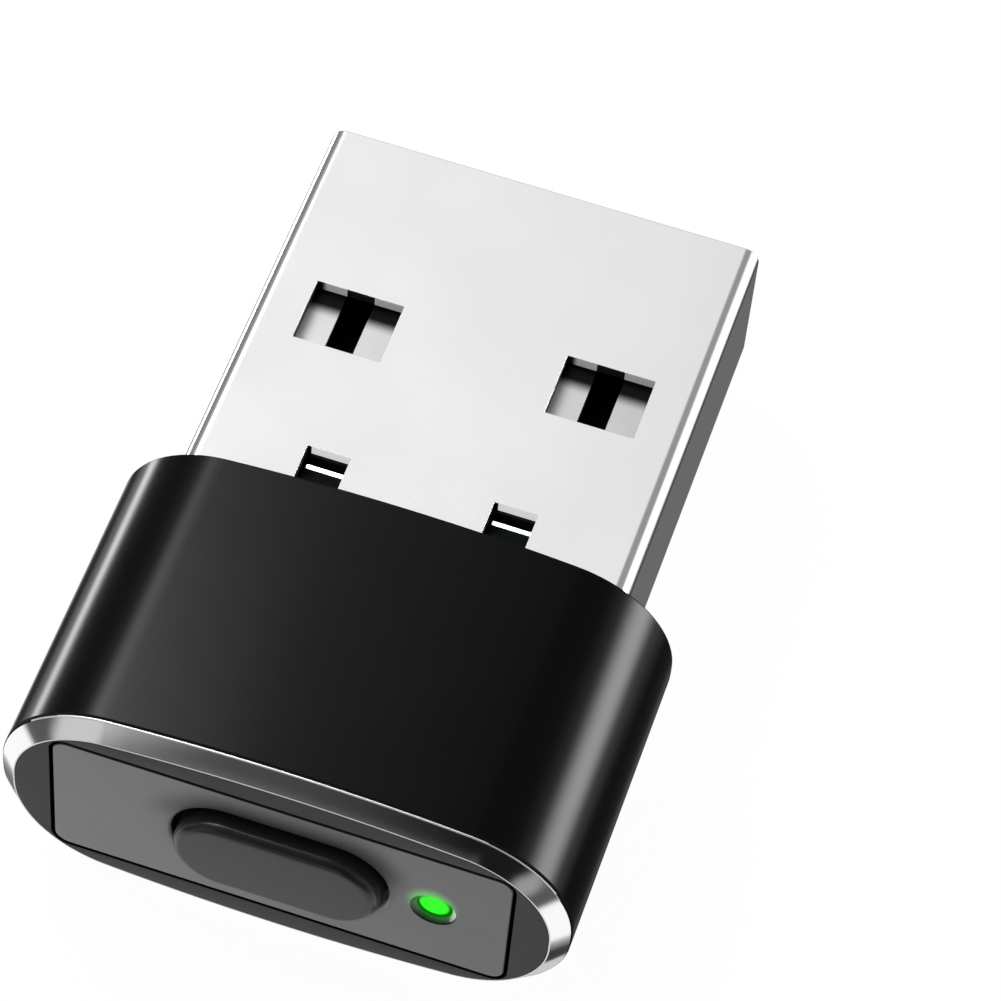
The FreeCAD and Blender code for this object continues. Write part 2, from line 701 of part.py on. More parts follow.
def make_light_pipe():
    pipe = Piece("light_pipe")
    lamp_tip = rear + d.lamp_setback
    pipe.add("XZ", frame_back, frame_back - lamp_tip, circle, lamp_x, ZERO, d.lamp_radius)
    pipe.fillet(d.lamp_dome, on_plane("y", lamp_tip))
    pipe.add("XZ", frame_back + d.pipe_block_length, d.pipe_block_length, rectangle,
             lamp_x - d.pipe_block_half, lamp_x + d.pipe_block_half,
             board_top + d.board_fit, d.pipe_block_top)


# ---------------------------------------------------------------- board and parts

def make_circuit_board():
    board = Piece("circuit_board")
    board.add("XY", board_under, d.board_thick, rectangle,
              -board_half_width, board_half_width, board_back, d.board_front)
    board.fillet(d.board_corner, along("z"))


def make_switch():
    housing = Piece("switch_housing")
    housing.add("XZ", housing_back, d.switch_depth, rectangle,
                -d.switch_half_width, d.switch_half_width, board_top, switch_top)
    housing.cut("XZ", cavity_floor, d.cavity_depth + AIR, circle, ZERO, switch_middle, d.switch_cavity)

    cover = Piece("switch_cover")
    wing = d.switch_half_width + d.cover_thick
    wing_back = housing_face + d.switch_depth / 2
    cover.add("XZ", housing_face, d.cover_thick, rectangle, -wing, wing, board_top, switch_top)
    cover.cut("XZ", housing_face + AIR, d.cover_thick + 2 * AIR, circle,
              ZERO, switch_middle, d.plunger_radius + d.plunger_fit)
    for left in (-wing, d.switch_half_width):
        cover.add("XZ", wing_back, wing_back - housing_face, rectangle,
                  left, left + d.cover_thick, board_top, switch_top)

    plunger = Piece("switch_plunger")
    plunger.add("XZ", plunger_end, plunger_end - plunger_tip, circle,
                ZERO, switch_middle, d.plunger_radius)
    plunger.add("XZ", plunger_end, d.plunger_flange_thick, circle,
                ZERO, switch_middle, d.plunger_flange)

    terminals = []
    back = housing_back + d.terminal_reach
    for name, side in (("left", -1), ("right", 1)):
        middle = side * (d.switch_half_width - d.terminal_width)
        left = middle - d.terminal_width / 2
        right = middle + d.terminal_width / 2
        foot = box(f"{name}_terminal_foot", left, right, housing_back, back,
                   board_top, board_top + d.terminal_thick)
        riser = box(f"{name}_terminal_riser", left, right, housing_back,
                    housing_back + d.terminal_thick, board_top, switch_middle)
        terminals.append(fuse(f"{name}_terminal", [foot, riser]))
    group("switch_terminals", terminals)


def ball_cap(name, radius, cut_height):
    """The top of a ball, from a flat cut at a height above its centre."""
    cap = doc.addObject("Part::Sphere", name)
    cap.setExpression("Radius", radius.text)
    cap.setExpression("Angle1", (cut_height / radius).arcsine().text)
    return cap


def make_switch_dome():
    """The snap dome: a thin cap of a ball that bulges towards the plunger."""
    rim, rise = d.dome_radius, d.dome_height
    radius = (rim * rim + rise * rise) / (2 * rise)
    dome = doc.addObject("Part::Cut", "switch_dome")
    dome.Base = ball_cap("dome_outside", radius, radius - rise)
    dome.Tool = ball_cap("dome_inside", radius - d.dome_thick, radius - rise)
    dome.Placement.Rotation = Rotation(Vector(1, 0, 0), 90)
    dome.setExpression("Placement.Base.y", (dome_rim + radius - rise).text)
    dome.setExpression("Placement.Base.z", switch_middle.text)
    nodes.append(dome)


def make_chips():
    chip_front = foot_end - d.chip_gap
    chip_back = chip_front - 2 * d.chip_half
    chip_left = -d.chip_x - d.chip_half
    chip_right = -d.chip_x + d.chip_half
    chip = Piece("controller_chip")
    chip.add("XY", board_top, d.chip_height, rectangle, chip_left, chip_right, chip_back, chip_front)
    chip.cut("XY", board_top + d.chip_height - d.chip_dot_depth, AIR, circle,
             chip_left + d.chip_dot_inset, chip_front - d.chip_dot_inset, d.chip_dot)

    crystal = Piece("crystal_can")
    crystal_left = chip_right + d.crystal_spacing
    crystal.add("XY", board_top, d.crystal_height, rectangle, crystal_left,
                crystal_left + d.crystal_width, chip_front - d.crystal_length, chip_front)
    crystal.fillet(d.crystal_round, either(along("z"), on_plane("z", board_top + d.crystal_height)))

    regulator = Piece("voltage_regulator")
    right = chip_left - d.regulator_spacing
    left = right - d.regulator_width
    back = chip_front - d.regulator_length
    regulator.add("XY", board_top, d.regulator_height, rectangle, left, right, back, chip_front)
    for place in (-1, 0, 1):
        middle = back + d.regulator_length / 2 + place * d.lead_pitch
        regulator.add("XY", board_top, d.lead_thick, rectangle, left - d.lead_reach, right + d.lead_reach,
                      middle - d.lead_width / 2, middle + d.lead_width / 2)

    led = Piece("lamp_diode")
    led_back = frame_back + d.pipe_block_length + d.led_gap
    led.add("XZ", led_back + d.led_depth, d.led_depth, rectangle,
            lamp_x - d.led_half_width, lamp_x + d.led_half_width,
            board_top, board_top + d.led_height)
    led.cut("XZ", led_back + d.led_depth / 2, d.led_depth, circle,
            lamp_x, board_top + d.led_height / 2, d.led_dish)


def row_of_parts(label, left, count, first):
    """Small surface parts side by side, each a plain block, from a first one forwards."""
    parts = []
    for place in range(count):
        back = first + d.chip_part_pitch * place
        parts.append(box(f"{label}_{place + 1}", left, left + d.chip_part_length,
                         back, back + d.chip_part_width, board_top, board_top + d.chip_part_height))
    group(label, parts)


def make_small_parts():
    edge = board_half_width - d.rail_width - d.chip_part_edge
    row_of_parts("capacitors", -edge, 3, housing_face)
    row_of_parts("resistors", edge - d.chip_part_length, 2,
                 housing_face + d.led_depth + d.chip_part_pitch)


# ---------------------------------------------------------------- the carrier halves

def make_carriers():
    front = -(d.front_wall + d.carrier_fit)
    back = board_back
    length = front - back
    inset = d.sleeve_wall + d.carrier_fit
    tail_x = d.plug_half_width + d.tail_fit
    tail_z = d.plug_half_height + d.tail_fit
    tail_length = d.shell_tail + front + d.tail_fit
    board_x = board_half_width + d.board_fit
    far = sleeve_half_width + AIR
    high = sleeve_half_height + AIR
    rail_inner = board_half_width - d.rail_width
    parting = d.carrier_split / 2

    lower = Piece("lower_carrier")
    lower.add("XZ", front, length, sleeve_section, inset)
    lower.cut("XZ", front + AIR, length + 2 * AIR, rectangle, -far, far, -parting, high)
    lower.cut("XZ", front + AIR, length + 2 * AIR, rectangle,
              -board_x, board_x, board_under, ZERO)
    lower.cut("XZ", front + AIR, tail_length + AIR, rounded_rectangle, tail_x, tail_z,
              d.plug_corner + d.tail_fit)
    lower.cut("XZ", front + AIR, length + 2 * AIR, rectangle, -d.floor_groove, d.floor_groove,
              d.floor_skin + inset - sleeve_half_height, board_under + d.board_fit)

    upper = Piece("upper_carrier")
    roof_under = sleeve_half_height - inset - d.roof
    upper.add("XZ", front, length, sleeve_section, inset)
    upper.cut("XZ", front + AIR, length + 2 * AIR, rectangle, -far, far, -high, parting)
    upper.cut("XZ", front + AIR, length + 2 * AIR, rectangle,
              -rail_inner, rail_inner, ZERO, roof_under)
    upper.cut("XZ", front + AIR, tail_length + AIR, rounded_rectangle, tail_x, tail_z,
              d.plug_corner + d.tail_fit)
    for side in (-1, 1):
        near, far_side = side * rail_inner, side * board_half_width
        left, right = sorted((near, far_side), key=number)
        rail_front = front - tail_length
        upper.add("XZ", rail_front, rail_front - back, rectangle, left, right,
                  board_top + d.board_fit, roof_under)


make_sleeve()
make_end_frame()
make_face_plate()
make_button_cap()
make_light_pipe()
make_plug_shell()
make_plug_insulator()
make_contact_spacer()
make_contacts()
make_circuit_board()
make_switch()
make_switch_dome()
make_chips()
make_small_parts()
make_carriers()
doc.recompute()

faults = []
for item in doc.Objects:
    if "Invalid" in item.State or "Error" in item.State:
        faults.append(f"{item.Label}: {item.State}")
    if item.isDerivedFrom("Sketcher::SketchObject") and not item.FullyConstrained:
        faults.append(f"{item.Name}: not fully constrained")
for node in nodes:
    if node.Shape.isNull() or not node.Shape.isValid() or not node.Shape.Solids:
        faults.append(f"{node.Label}: bad shape")
if faults:
    raise RuntimeError("; ".join(faults))

os.makedirs("parts", exist_ok=True)
for node in nodes:
    node.Shape.exportStep(f"parts/{node.Label}.step")
    bounds = node.Shape.optimalBoundingBox()
    print(f"{node.Label}: {len(node.Shape.Solids)} solid, {node.Shape.Volume:.2f} mm3,"
          f" y {bounds.YMin:.2f} to {bounds.YMax:.2f}, z {bounds.ZMin:.2f} to {bounds.ZMax:.2f}")
print(f"{len(nodes)} nodes written")
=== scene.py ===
# %% [markdown]
# # A plug-in mouse jiggler, dressed in Blender
# The object is a short black metal sleeve with a standard flat plug at one end, and a push button and a green
# lamp at the other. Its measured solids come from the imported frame. This lesson adds the studio, the finishes
# and the finer shapes: rounded edges, the rolled sheet of the plug and the mirror-cut bevel.

# %% The frame
import bpy
import bmesh
from math import acos, atan2, cos, pi, radians, sin, sqrt
from mathutils import Matrix, Vector


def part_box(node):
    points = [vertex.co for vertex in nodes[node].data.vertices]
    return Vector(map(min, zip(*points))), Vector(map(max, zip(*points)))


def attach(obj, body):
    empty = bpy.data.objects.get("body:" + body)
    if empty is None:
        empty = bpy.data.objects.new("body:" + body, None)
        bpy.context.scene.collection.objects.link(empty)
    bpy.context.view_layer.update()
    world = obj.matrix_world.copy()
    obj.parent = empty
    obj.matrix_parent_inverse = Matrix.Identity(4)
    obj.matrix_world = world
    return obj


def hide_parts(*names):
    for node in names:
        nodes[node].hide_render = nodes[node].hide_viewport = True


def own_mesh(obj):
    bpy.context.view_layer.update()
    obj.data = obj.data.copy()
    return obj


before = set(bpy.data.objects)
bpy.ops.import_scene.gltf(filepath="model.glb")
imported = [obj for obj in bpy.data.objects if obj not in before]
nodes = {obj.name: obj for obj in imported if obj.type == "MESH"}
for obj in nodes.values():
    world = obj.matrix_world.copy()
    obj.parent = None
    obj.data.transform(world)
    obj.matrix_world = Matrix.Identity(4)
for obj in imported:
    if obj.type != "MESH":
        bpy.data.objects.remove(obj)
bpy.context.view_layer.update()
MM = 0.001

# %% [markdown]
# ## Camera
# A long lens from far away keeps a small object's edges nearly parallel, so its proportions stay true. The
# camera's three directions are written as vectors, so the view can be read at a glance: it looks along +Y and
# steeply down, from the button's end.

# %% Camera
camera_place = Vector((17.752, -64.805, 97.465)) * MM
to_the_right = Vector((0.94805, 0.31197, 0.06230))
upwards = Vector((-0.28864, 0.76114, 0.58082))
camera_data = bpy.data.cameras.new("camera")
camera_data.sensor_width = 36.0
camera_data.lens = 166.12
camera_data.clip_start = 0.005
camera_data.clip_end = 20.0
camera = bpy.data.objects.new("camera", camera_data)
bpy.context.scene.collection.objects.link(camera)
camera.matrix_world = Matrix.Translation(camera_place) @ Matrix(
    (to_the_right, upwards, to_the_right.cross(upwards))).transposed().to_4x4()
bpy.context.scene.camera = camera
print("camera to object: %.0f mm" % (camera_place.length / MM))

# %% [markdown]
# ## Writing shader maths as Python
# A material is a graph of nodes. Linking dozens of them by hand hides the idea, so one small class stands for
# an output socket and lets us add, subtract and multiply sockets like numbers. Every other node comes from
# its `node` method, which sets the node's own settings first and then its sockets. `rise` and `between` make
# masks: soft steps from 0 to 1 that say where on the object a finish lies.

# %% One class for sockets
class Wire:
    """An output socket that can be used in ordinary arithmetic."""

    def __init__(self, tree, socket=None):
        self.tree, self.socket = tree, socket

    def node(self, kind, settings=None, sockets=None, out=0):
        """A new node: its kind, its settings, values or wires for its sockets, and which output to use."""
        made = self.tree.nodes.new(kind)
        for name, value in (settings or {}).items():
            setattr(made, name, value)
        for name, value in (sockets or {}).items():
            if isinstance(value, Wire):
                self.tree.links.new(value.socket, made.inputs[name])
            else:
                made.inputs[name].default_value = value
        return Wire(self.tree, made.outputs[out] if made.outputs else None)

    def maths(self, operation, first, second):
        return self.node("ShaderNodeMath", {"operation": operation}, {0: first, 1: second})

    def __add__(self, other):
        return self.maths("ADD", self, other)

    def __sub__(self, other):
        return self.maths("SUBTRACT", self, other)

    def __rsub__(self, other):
        return self.maths("SUBTRACT", other, self)

    def __mul__(self, other):
        return self.maths("MULTIPLY", self, other)

    def __pow__(self, other):
        return self.maths("POWER", self, other)

    __radd__, __rmul__ = __add__, __mul__

    def unsigned(self):
        """The value without its sign."""
        return self.node("ShaderNodeMath", {"operation": "ABSOLUTE"}, {0: self})

    def parts(self):
        """Three wires with the x, y and z of a vector."""
        split = self.node("ShaderNodeSeparateXYZ", sockets={0: self}).socket.node
        return [Wire(self.tree, socket) for socket in split.outputs]

    def rise(self, low, high):
        """0 below low and 1 above high, with a smooth step between; low may be the larger."""
        return self.node("ShaderNodeMapRange", {"interpolation_type": "SMOOTHSTEP"},
                         {"Value": self, "From Min": low, "From Max": high})

    def between(self, low, high, edge):
        """1 between low and high and 0 outside, with a smooth step of that edge to each side of both."""
        return self.rise(low - edge, low + edge) * self.rise(high + edge, high - edge)

    def mix(self, first, second):
        """first where this wire is 0 and second where it is 1: colours, or wires that carry colours."""
        both = [(*c, 1.0) if isinstance(c, tuple) else c for c in (first, second)]
        return self.node("ShaderNodeMix", {"data_type": "RGBA"}, {0: self, 6: both[0], 7: both[1]}, out=2)


print("sockets now add, subtract, multiply and mix")

# %% [markdown]
# ## The studio's light
# A glossy black case shows little but its surroundings, so the studio is planned as what the case should
# mirror: a white light table below, a wide diffuser above, one strong window to the left, a bright panel to
# the right and black cards between them. White walls stand where only the plug's steel looks from the other
# sides, so that it stays bright all round. All of it is painted on the world by direction, with soft edges,
# so it lights the matt pieces and shows in the glossy ones alike. Angles are in degrees: azimuth 0 is along
# +Y, 90 along +X, and for BACK it is counted from -Y instead, with 90 along -X, so that no patch crosses the
# jump from 180 to -180. Each patch is (FRONT or BACK, azimuth from and to, elevation from and to, softness of
# its edge, brightness, over or add), and a later patch lies over an earlier one or adds to it.

# %% World
FRONT, BACK = 0, 1
ALL_ROUND = (-400, 400)
room_level, studio_power = 0.12, 0.8
patches = [
    (FRONT, *ALL_ROUND, -95, -21, 3, 1.30, "over"),  # light table
    (FRONT, *ALL_ROUND, -95, -62, 5, 0.78, "over"),  # the table right under the object
    (FRONT, 76, 120, -24, 30, 5, 0.85, "over"),      # white wall on the right
    (BACK, -72, -43, 12, 30, 3, 0.85, "over"),       # its upper half goes on further
    (FRONT, -112, -86, 2, 30, 5, 0.85, "over"),      # white wall on the left
    (FRONT, -99, -86, -24, 10, 5, 0.85, "over"),     # and its foot
    (BACK, 34, 49, -24, -10, 3, 0.85, "over"),       # low white wall behind, left
    (BACK, -8, 16, -24, 14, 4, 0.70, "over"),        # low white wall behind
    (FRONT, -82, -45, -64, -56, 3, 0.20, "over"),    # black card under the left end
    (FRONT, 82, 118, -75, -58, 4, 0.05, "over"),     # black card under the right end
    (FRONT, -4, 80, -64, -9, 6, 0.09, "over"),       # black card, low on the right
    (FRONT, -6, 26, -66, -43, 6, 0.18, "over"),      # its grey end
    (FRONT, -58, -38, -50, -29, 5, 0.08, "over"),    # black card, low on the left
    (FRONT, -78, -44, -6, 28, 4, 0.30, "over"),      # dim wall on the left
    (FRONT, -38, 36, -26, 24, 4, 0.70, "over"),      # white wall ahead
    (FRONT, *ALL_ROUND, 28, 95, 10, 0.40, "over"),   # ceiling
    (FRONT, -95, -1, 33, 95, 14, 1.14, "over"),      # diffuser overhead
    (FRONT, -86, -41, 40.5, 84, 5, 14.0, "over"),    # strong window, high on the left
    (FRONT, -48, -35, 48.5, 84, 5, 13.5, "over"),    # its next pane, which starts higher
    (FRONT, -38, -27, 53.5, 84, 5, 7.5, "over"),     # and its last one
    (FRONT, *ALL_ROUND, 76, 95, 5, 0.10, "over"),    # black card straight overhead
    (FRONT, 36, 72, -18, 34, 4, 1.25, "over"),       # white frame of the panel
    (FRONT, 40, 52, -26, -12, 2, 1.25, "over"),      # its foot
    (FRONT, -75, -46, -18, -10, 3, 17.0, "add"),     # bright strip, left
    (FRONT, 46, 67, -2, 18, 8, 23.0, "add"),         # bright panel, right
    (BACK, -43, -10, 4, 60, 3, 0.012, "over"),       # black cloth behind the camera
    (BACK, -18, 18, 20, 60, 4, 0.012, "over"),       # and its higher part
    (BACK, 5, 24, 14, 60, 8, 0.07, "add"),           # its paler edge
    (BACK, 21, 51, -6, 29, 5, 0.78, "over"),         # grey board behind, left
    (BACK, -47, -32, -8, 5, 4, 0.42, "over"),        # grey strip behind, right
]
world = bpy.data.worlds.new("studio")
bpy.context.scene.world = world
world.use_nodes = True
world.node_tree.nodes.clear()
sky = Wire(world.node_tree)
east, north, up = sky.node("ShaderNodeTexCoord", out=0).parts()
degrees_in_radian = 180.0 / pi
azimuths = (sky.maths("ARCTAN2", east, north) * degrees_in_radian,
            sky.maths("ARCTAN2", east * -1.0, north * -1.0) * degrees_in_radian)
elevation = sky.node("ShaderNodeMath", {"operation": "ARCSINE"}, {0: up}) * degrees_in_radian
level = room_level
for side, left, right, low, high, edge, brightness, way in patches:
    mask = elevation.between(low, high, edge)
    if (left, right) != ALL_ROUND:
        mask = mask * azimuths[side].between(left, right, edge)
    level = level + mask * (brightness - level if way == "over" else brightness)
seen_by_camera = sky.node("ShaderNodeLightPath", out=0)
level = level * studio_power
level = level + seen_by_camera * (1.0 - level)
backdrop = sky.node("ShaderNodeBackground", sockets={"Color": (1.0, 1.0, 1.0, 1.0), "Strength": level})
sky.node("ShaderNodeOutputWorld", sockets={0: backdrop})
bpy.context.scene.view_settings.view_transform = "Standard"
print("studio patches:", len(patches))

# %% [markdown]
# ## Floor and lamps
# The floor is a white table top just under the sleeve. Most of what the camera sees of it is its own even
# white, and the rest is real light on it, so the object's shadow stays on it, faint and soft. The table top
# lets the light from below through: a lamp under it lights the button's end face, which points level.

# %% Floor and lamps
floor_z, floor_reach = -3.47 * MM, 0.6
floor_mesh = bpy.data.meshes.new("table_top")
floor_corners = [(x * floor_reach, y * floor_reach, floor_z) for x, y in ((-1, -1), (1, -1), (1, 1), (-1, 1))]
floor_mesh.from_pydata(floor_corners, [], [(0, 1, 2, 3)])
floor = bpy.data.objects.new("table_top", floor_mesh)
bpy.context.scene.collection.objects.link(floor)
floor.visible_diffuse = floor.visible_glossy = floor.visible_transmission = floor.visible_shadow = False
white = bpy.data.materials.new("table_white")
white.use_nodes = True
white.node_tree.nodes.clear()
paint = Wire(white.node_tree)
lit = paint.node("ShaderNodeBsdfDiffuse", sockets={"Color": (0.8, 0.8, 0.8, 1.0)})
glow = paint.node("ShaderNodeEmission", sockets={"Strength": 1.0})
own_white = 0.975
surface = paint.node("ShaderNodeMixShader", sockets={0: own_white, 1: lit, 2: glow})
paint.node("ShaderNodeOutputMaterial", sockets={0: surface})
floor_mesh.materials.append(white)


def lamp(name, place, size, watts):
    """A square soft light that looks at the object and isn't mirrored in it."""
    data = bpy.data.lights.new(name, "AREA")
    data.size, data.energy = size, watts
    made = bpy.data.objects.new(name, data)
    made.location = place
    made.rotation_euler = (-Vector(place)).to_track_quat("-Z", "Y").to_euler()
    made.visible_glossy = False
    bpy.context.scene.collection.objects.link(made)


lamp("lamp_under", (-0.035, -0.07, -0.17), 0.05, 0.14)
lamp("lamp_left", (-0.030, -0.034, -0.036), 0.016, 0.0150)
lamp("lamp_over", (-0.115, 0.10, 0.13), 0.07, 0.20)

# %% [markdown]
# ## Finishes
# Every finish starts from the same small grain: noise in the object's own coordinates, in cycles per
# millimetre, so that it has the same scale on each piece. It feeds a bump for the moulded or blasted surface,
# and a little of it goes into the roughness, since no real surface is equally polished everywhere. Masks are
# written in millimetres too, in the frame of the measured parts.

# %% A finish maker
def spot_mm(wire):
    """Wires with the x, y and z of a point of the object, in millimetres."""
    place = wire.node("ShaderNodeTexCoord", out=3)
    return wire.node("ShaderNodeVectorMath", {"operation": "SCALE"}, {0: place, "Scale": 1.0 / MM}).parts()


def way_out(wire):
    """Wires with the x, y and z of the direction in which the surface faces."""
    return wire.node("ShaderNodeTexCoord", out=1).parts()


def noise(wire, per_mm, detail=2.0, stretch=(1.0, 1.0, 1.0)):
    """Noise from 0 to 1 with that many cycles to the millimetre, along each axis times stretch."""
    place = wire.node("ShaderNodeTexCoord", out=3)
    scaled = wire.node("ShaderNodeMapping", sockets={"Vector": place, "Scale": stretch})
    return wire.node("ShaderNodeTexNoise", sockets={"Vector": scaled, "Scale": per_mm / MM, "Detail": detail})


def grey(level):
    """A neutral colour."""
    return (level, level, level)


BLACK = grey(0.0)


def make_finish(name, recipe):
    """A material whose recipe gives the Principled shader's sockets, from a wire of its node tree."""
    material = bpy.data.materials.new(name)
    material.use_nodes = True
    material.node_tree.nodes.clear()
    wire = Wire(material.node_tree)
    shader = wire.node("ShaderNodeBsdfPrincipled", sockets=recipe(wire))
    wire.node("ShaderNodeOutputMaterial", sockets={0: shader})
    return material


def bump(wire, height, depth_mm):
    """A normal from a height of 0 to 1 that stands for that depth."""
    return wire.node("ShaderNodeBump", sockets={"Height": height, "Distance": depth_mm * MM, "Strength": 1.0})


print("finish maker ready")

# %% [markdown]
# ## Plastics
# A moulded part carries the fine grain of its spark-eroded mould, and its tone is never quite even. The
# plastics differ only in colour, roughness and depth of grain, so one function makes them all. Dull black is
# for edges and gaps that no light of the studio reaches.

# %% Plastics
def moulded(name, colour, rough, grain_depth=0.004, fleck=0.12, shine=0.35):
    """Moulded plastic: fine spark-eroded grain and a slight unevenness of tone."""
    dark, unevenness = tuple(c * (1 - fleck) for c in colour), 0.06

    def recipe(wire):
        grain, cloud = noise(wire, 9.0, 3.0), noise(wire, 0.6)
        return {"Base Color": cloud.mix(dark, colour), "Specular IOR Level": shine,
                "Roughness": rough - unevenness + 2 * unevenness * cloud,
                "Normal": bump(wire, grain, grain_depth)}

    return make_finish(name, recipe)


frame_plastic = moulded("frame_plastic", grey(0.032), 0.62)
carrier_plastic = moulded("carrier_plastic", (0.05, 0.05, 0.052), 0.5)
chip_resin = moulded("chip_resin", (0.028, 0.028, 0.03), 0.45, 0.006)
ceramic = moulded("tan_ceramic", (0.45, 0.33, 0.2), 0.5)
white_plastic = moulded("white_plastic", (0.78, 0.78, 0.76), 0.4, 0.002, 0.04)
dull_black = moulded("dull_black", grey(0.002), 0.7, shine=0.04)
print("plastics:", [m.name for m in bpy.data.materials if "plastic" in m.name])

# %% [markdown]
# ## Metals
# The plug is bright rolled steel: a mirror with a faint drawing grain along its length. The sleeve is blasted
# and dyed black, so its oxide skin reflects only about one part in a hundred straight on, and more at a
# grazing angle, which an index of refraction of 1.22 gives. The bevel was cut after dyeing, with a diamond
# tool, so it is bare bright aluminium with turning marks round it, and a hair of painted shade lies beside the
# cut.

# %% Metals
def metal(name, colour, rough, depth, stretch):
    """Bright metal with fine parallel marks along the axis that stretch makes small."""
    worn, unevenness = tuple(c * 0.94 for c in colour), 0.03

    def recipe(wire):
        marks, cloud = noise(wire, 6.0, 2.0, stretch), noise(wire, 0.35)
        return {"Base Color": cloud.mix(worn, colour), "Metallic": 1.0,
                "Roughness": rough - unevenness + 2 * unevenness * cloud, "Normal": bump(wire, marks, depth)}

    return make_finish(name, recipe)


def plug_steel(wire):
    """Bright rolled steel, with painted shade that makes the slopes of the two bent tabs dull black."""
    x, y, z = spot_mm(wire)
    below_top, above_inside = z.rise(2.24, 2.22), z.rise(1.3, 1.4)
    # painted shade: the slopes of the two bent tabs are dull black, as if in shadow
    painted_tab_shade = x.unsigned().between(1.97, 3.06, 0.01) * y.rise(1.46, 1.44) * below_top * above_inside
    marks, cloud = noise(wire, 6.0, 2.0, (1.0, 0.06, 1.0)), noise(wire, 0.35)
    steel = cloud.mix(grey(0.85), grey(0.9))
    return {"Base Color": painted_tab_shade.mix(steel, (0.003, 0.004, 0.004)), "Metallic": 1.0 - painted_tab_shade,
            "Roughness": 0.10 + 0.06 * cloud + 0.5 * painted_tab_shade, "Specular IOR Level": 0.02,
            "Normal": bump(wire, marks, 0.0004)}


bright_steel = make_finish("bright_steel", plug_steel)
cut_aluminium = metal("cut_aluminium", grey(0.93), 0.10, 0.0003, (0.15, 6.0, 0.15))
broken_edge = metal("broken_edge", grey(0.8), 0.48, 0.0003, (1.0, 1.0, 1.0))
tin_plate = metal("tin_plate", (0.72, 0.71, 0.69), 0.28, 0.002, (1.0, 1.0, 1.0))
gold_plate = metal("gold_plate", (0.83, 0.62, 0.25), 0.22, 0.001, (1.0, 0.1, 1.0))


print("bare metals ready")

# %% [markdown]
# ## Anodised black and board lacquer
# Anodising leaves the blasted grain of the aluminium under a dark, even skin. The board's lacquer shows its
# copper tracks as a paler, raised pattern, which a brick texture gives.

# %% Anodised black and board lacquer
def black_oxide(wire):
    """Blasted and black anodised aluminium."""
    grain, cloud = noise(wire, 14.0, 2.0), noise(wire, 0.5)
    return {"Base Color": cloud.mix((0.0004, 0.0004, 0.0005), (0.0009, 0.0009, 0.001)), "IOR": 1.22,
            "Roughness": 0.17 + 0.04 * cloud, "Normal": bump(wire, grain, 0.0003)}


black_anodised = make_finish("black_anodised", black_oxide)


def solder_mask(wire):
    """Dark green lacquer over copper tracks that show as a slightly lighter, raised pattern."""
    place = wire.node("ShaderNodeTexCoord", out=3)
    tracks = wire.node("ShaderNodeTexBrick", {"offset": 0.5},
                       {"Vector": place, "Scale": 900.0, "Mortar Size": 0.035}, out=1)
    return {"Base Color": tracks.mix((0.008, 0.05, 0.034), (0.02, 0.11, 0.07)), "Roughness": 0.25,
            "Normal": bump(wire, tracks, 0.02)}


board_lacquer = make_finish("board_lacquer", solder_mask)
print("finishes so far:", len(bpy.data.materials))

# %% [markdown]
# ## Outlines
# Nearly every part here has one outline that runs round the plug's axis, and a side view that is turned along
# it, so each is built from rings of equally many points: the first ring's points join the second's, and so
# on. An outline moves inwards as a true parallel offset, because its arcs keep their centres and only lose
# radius.

# %% Outlines
CROWN, TURN, ROUND = 7, 20, 64


def loop(quarter):
    """The whole outline from its upper right quarter, which starts over the middle."""
    lower = [(x, -z) for x, z in reversed(quarter)]
    left_low = [(-x, -z) for x, z in quarter[1:]]
    left_top = [(-x, z) for x, z in reversed(quarter[1:])]
    return quarter + lower + left_low + left_top


def sleeve_outline(inset):
    """The sleeve's outline: long flat crowns above and below, and round sides with a short flat."""
    half_height, crown_radius, side_radius, side_x, side_z = 3.46, 45.998, 3.08, 4.34, 0.16
    crown_z = half_height - crown_radius
    lean = atan2(side_x, side_z - crown_z)
    quarter = [((crown_radius - inset) * sin(lean * i / CROWN),
                crown_z + (crown_radius - inset) * cos(lean * i / CROWN)) for i in range(CROWN)]
    for i in range(TURN + 1):
        angle = lean + (pi / 2 - lean) * i / TURN
        quarter.append((side_x + (side_radius - inset) * sin(angle),
                        side_z + (side_radius - inset) * cos(angle)))
    return loop(quarter)


def soft_box(half_width, half_height, corner):
    """An outline maker for a rounded rectangle; with a negative inset it grows."""
    def outline(inset):
        wide, high, radius = half_width - inset, half_height - inset, max(corner - inset, 1e-4)
        quarter = [((wide - radius) * i / CROWN, high) for i in range(CROWN)]
        for i in range(TURN + 1):
            angle = pi / 2 * i / TURN
            quarter.append((wide - radius + radius * sin(angle), high - radius + radius * cos(angle)))
        return loop(quarter)
    return outline


def circle(x, z, radius):
    """A round outline at a place."""
    turns = [2 * pi * i / ROUND for i in range(ROUND)]
    return [(x + radius * sin(turn), z + radius * cos(turn)) for turn in turns]


def unit_circle(inset):
    """An outline maker for round pieces: a circle that shrinks by inset from one millimetre of radius."""
    return circle(0.0, 0.0, 1.0 - inset)


print("points round an outline:", len(sleeve_outline(0.0)))

# %% [markdown]
# ## Side views and rings
# A side view is a list of places along the plug's axis, each with its distance in from the outline. It gets
# its rounded corners first, as short arcs of a stated radius, and each of its points then becomes a ring.

# %% Side views and rings
def rounded(points, steps=5):
    """A side view as (y, inset, corner radius) becomes a list of (y, inset) with its corners rounded."""
    out = []
    for i, (y, inset, radius) in enumerate(points):
        here = Vector((y, inset))
        if not radius or i in (0, len(points) - 1):
            out.append((y, inset))
            continue
        back = (Vector(points[i - 1][:2]) - here).normalized()
        on = (Vector(points[i + 1][:2]) - here).normalized()
        half = back.angle(on) / 2
        run, middle = radius / sin(half) * cos(half), here + (back + on).normalized() * radius / sin(half)
        first, last = here + back * run - middle, here + on * run - middle
        sweep = first.angle_signed(last)
        for k in range(steps + 1):
            spot = middle + Matrix.Rotation(-sweep * k / steps, 2) @ first
            out.append((spot.x, spot.y))
    return out


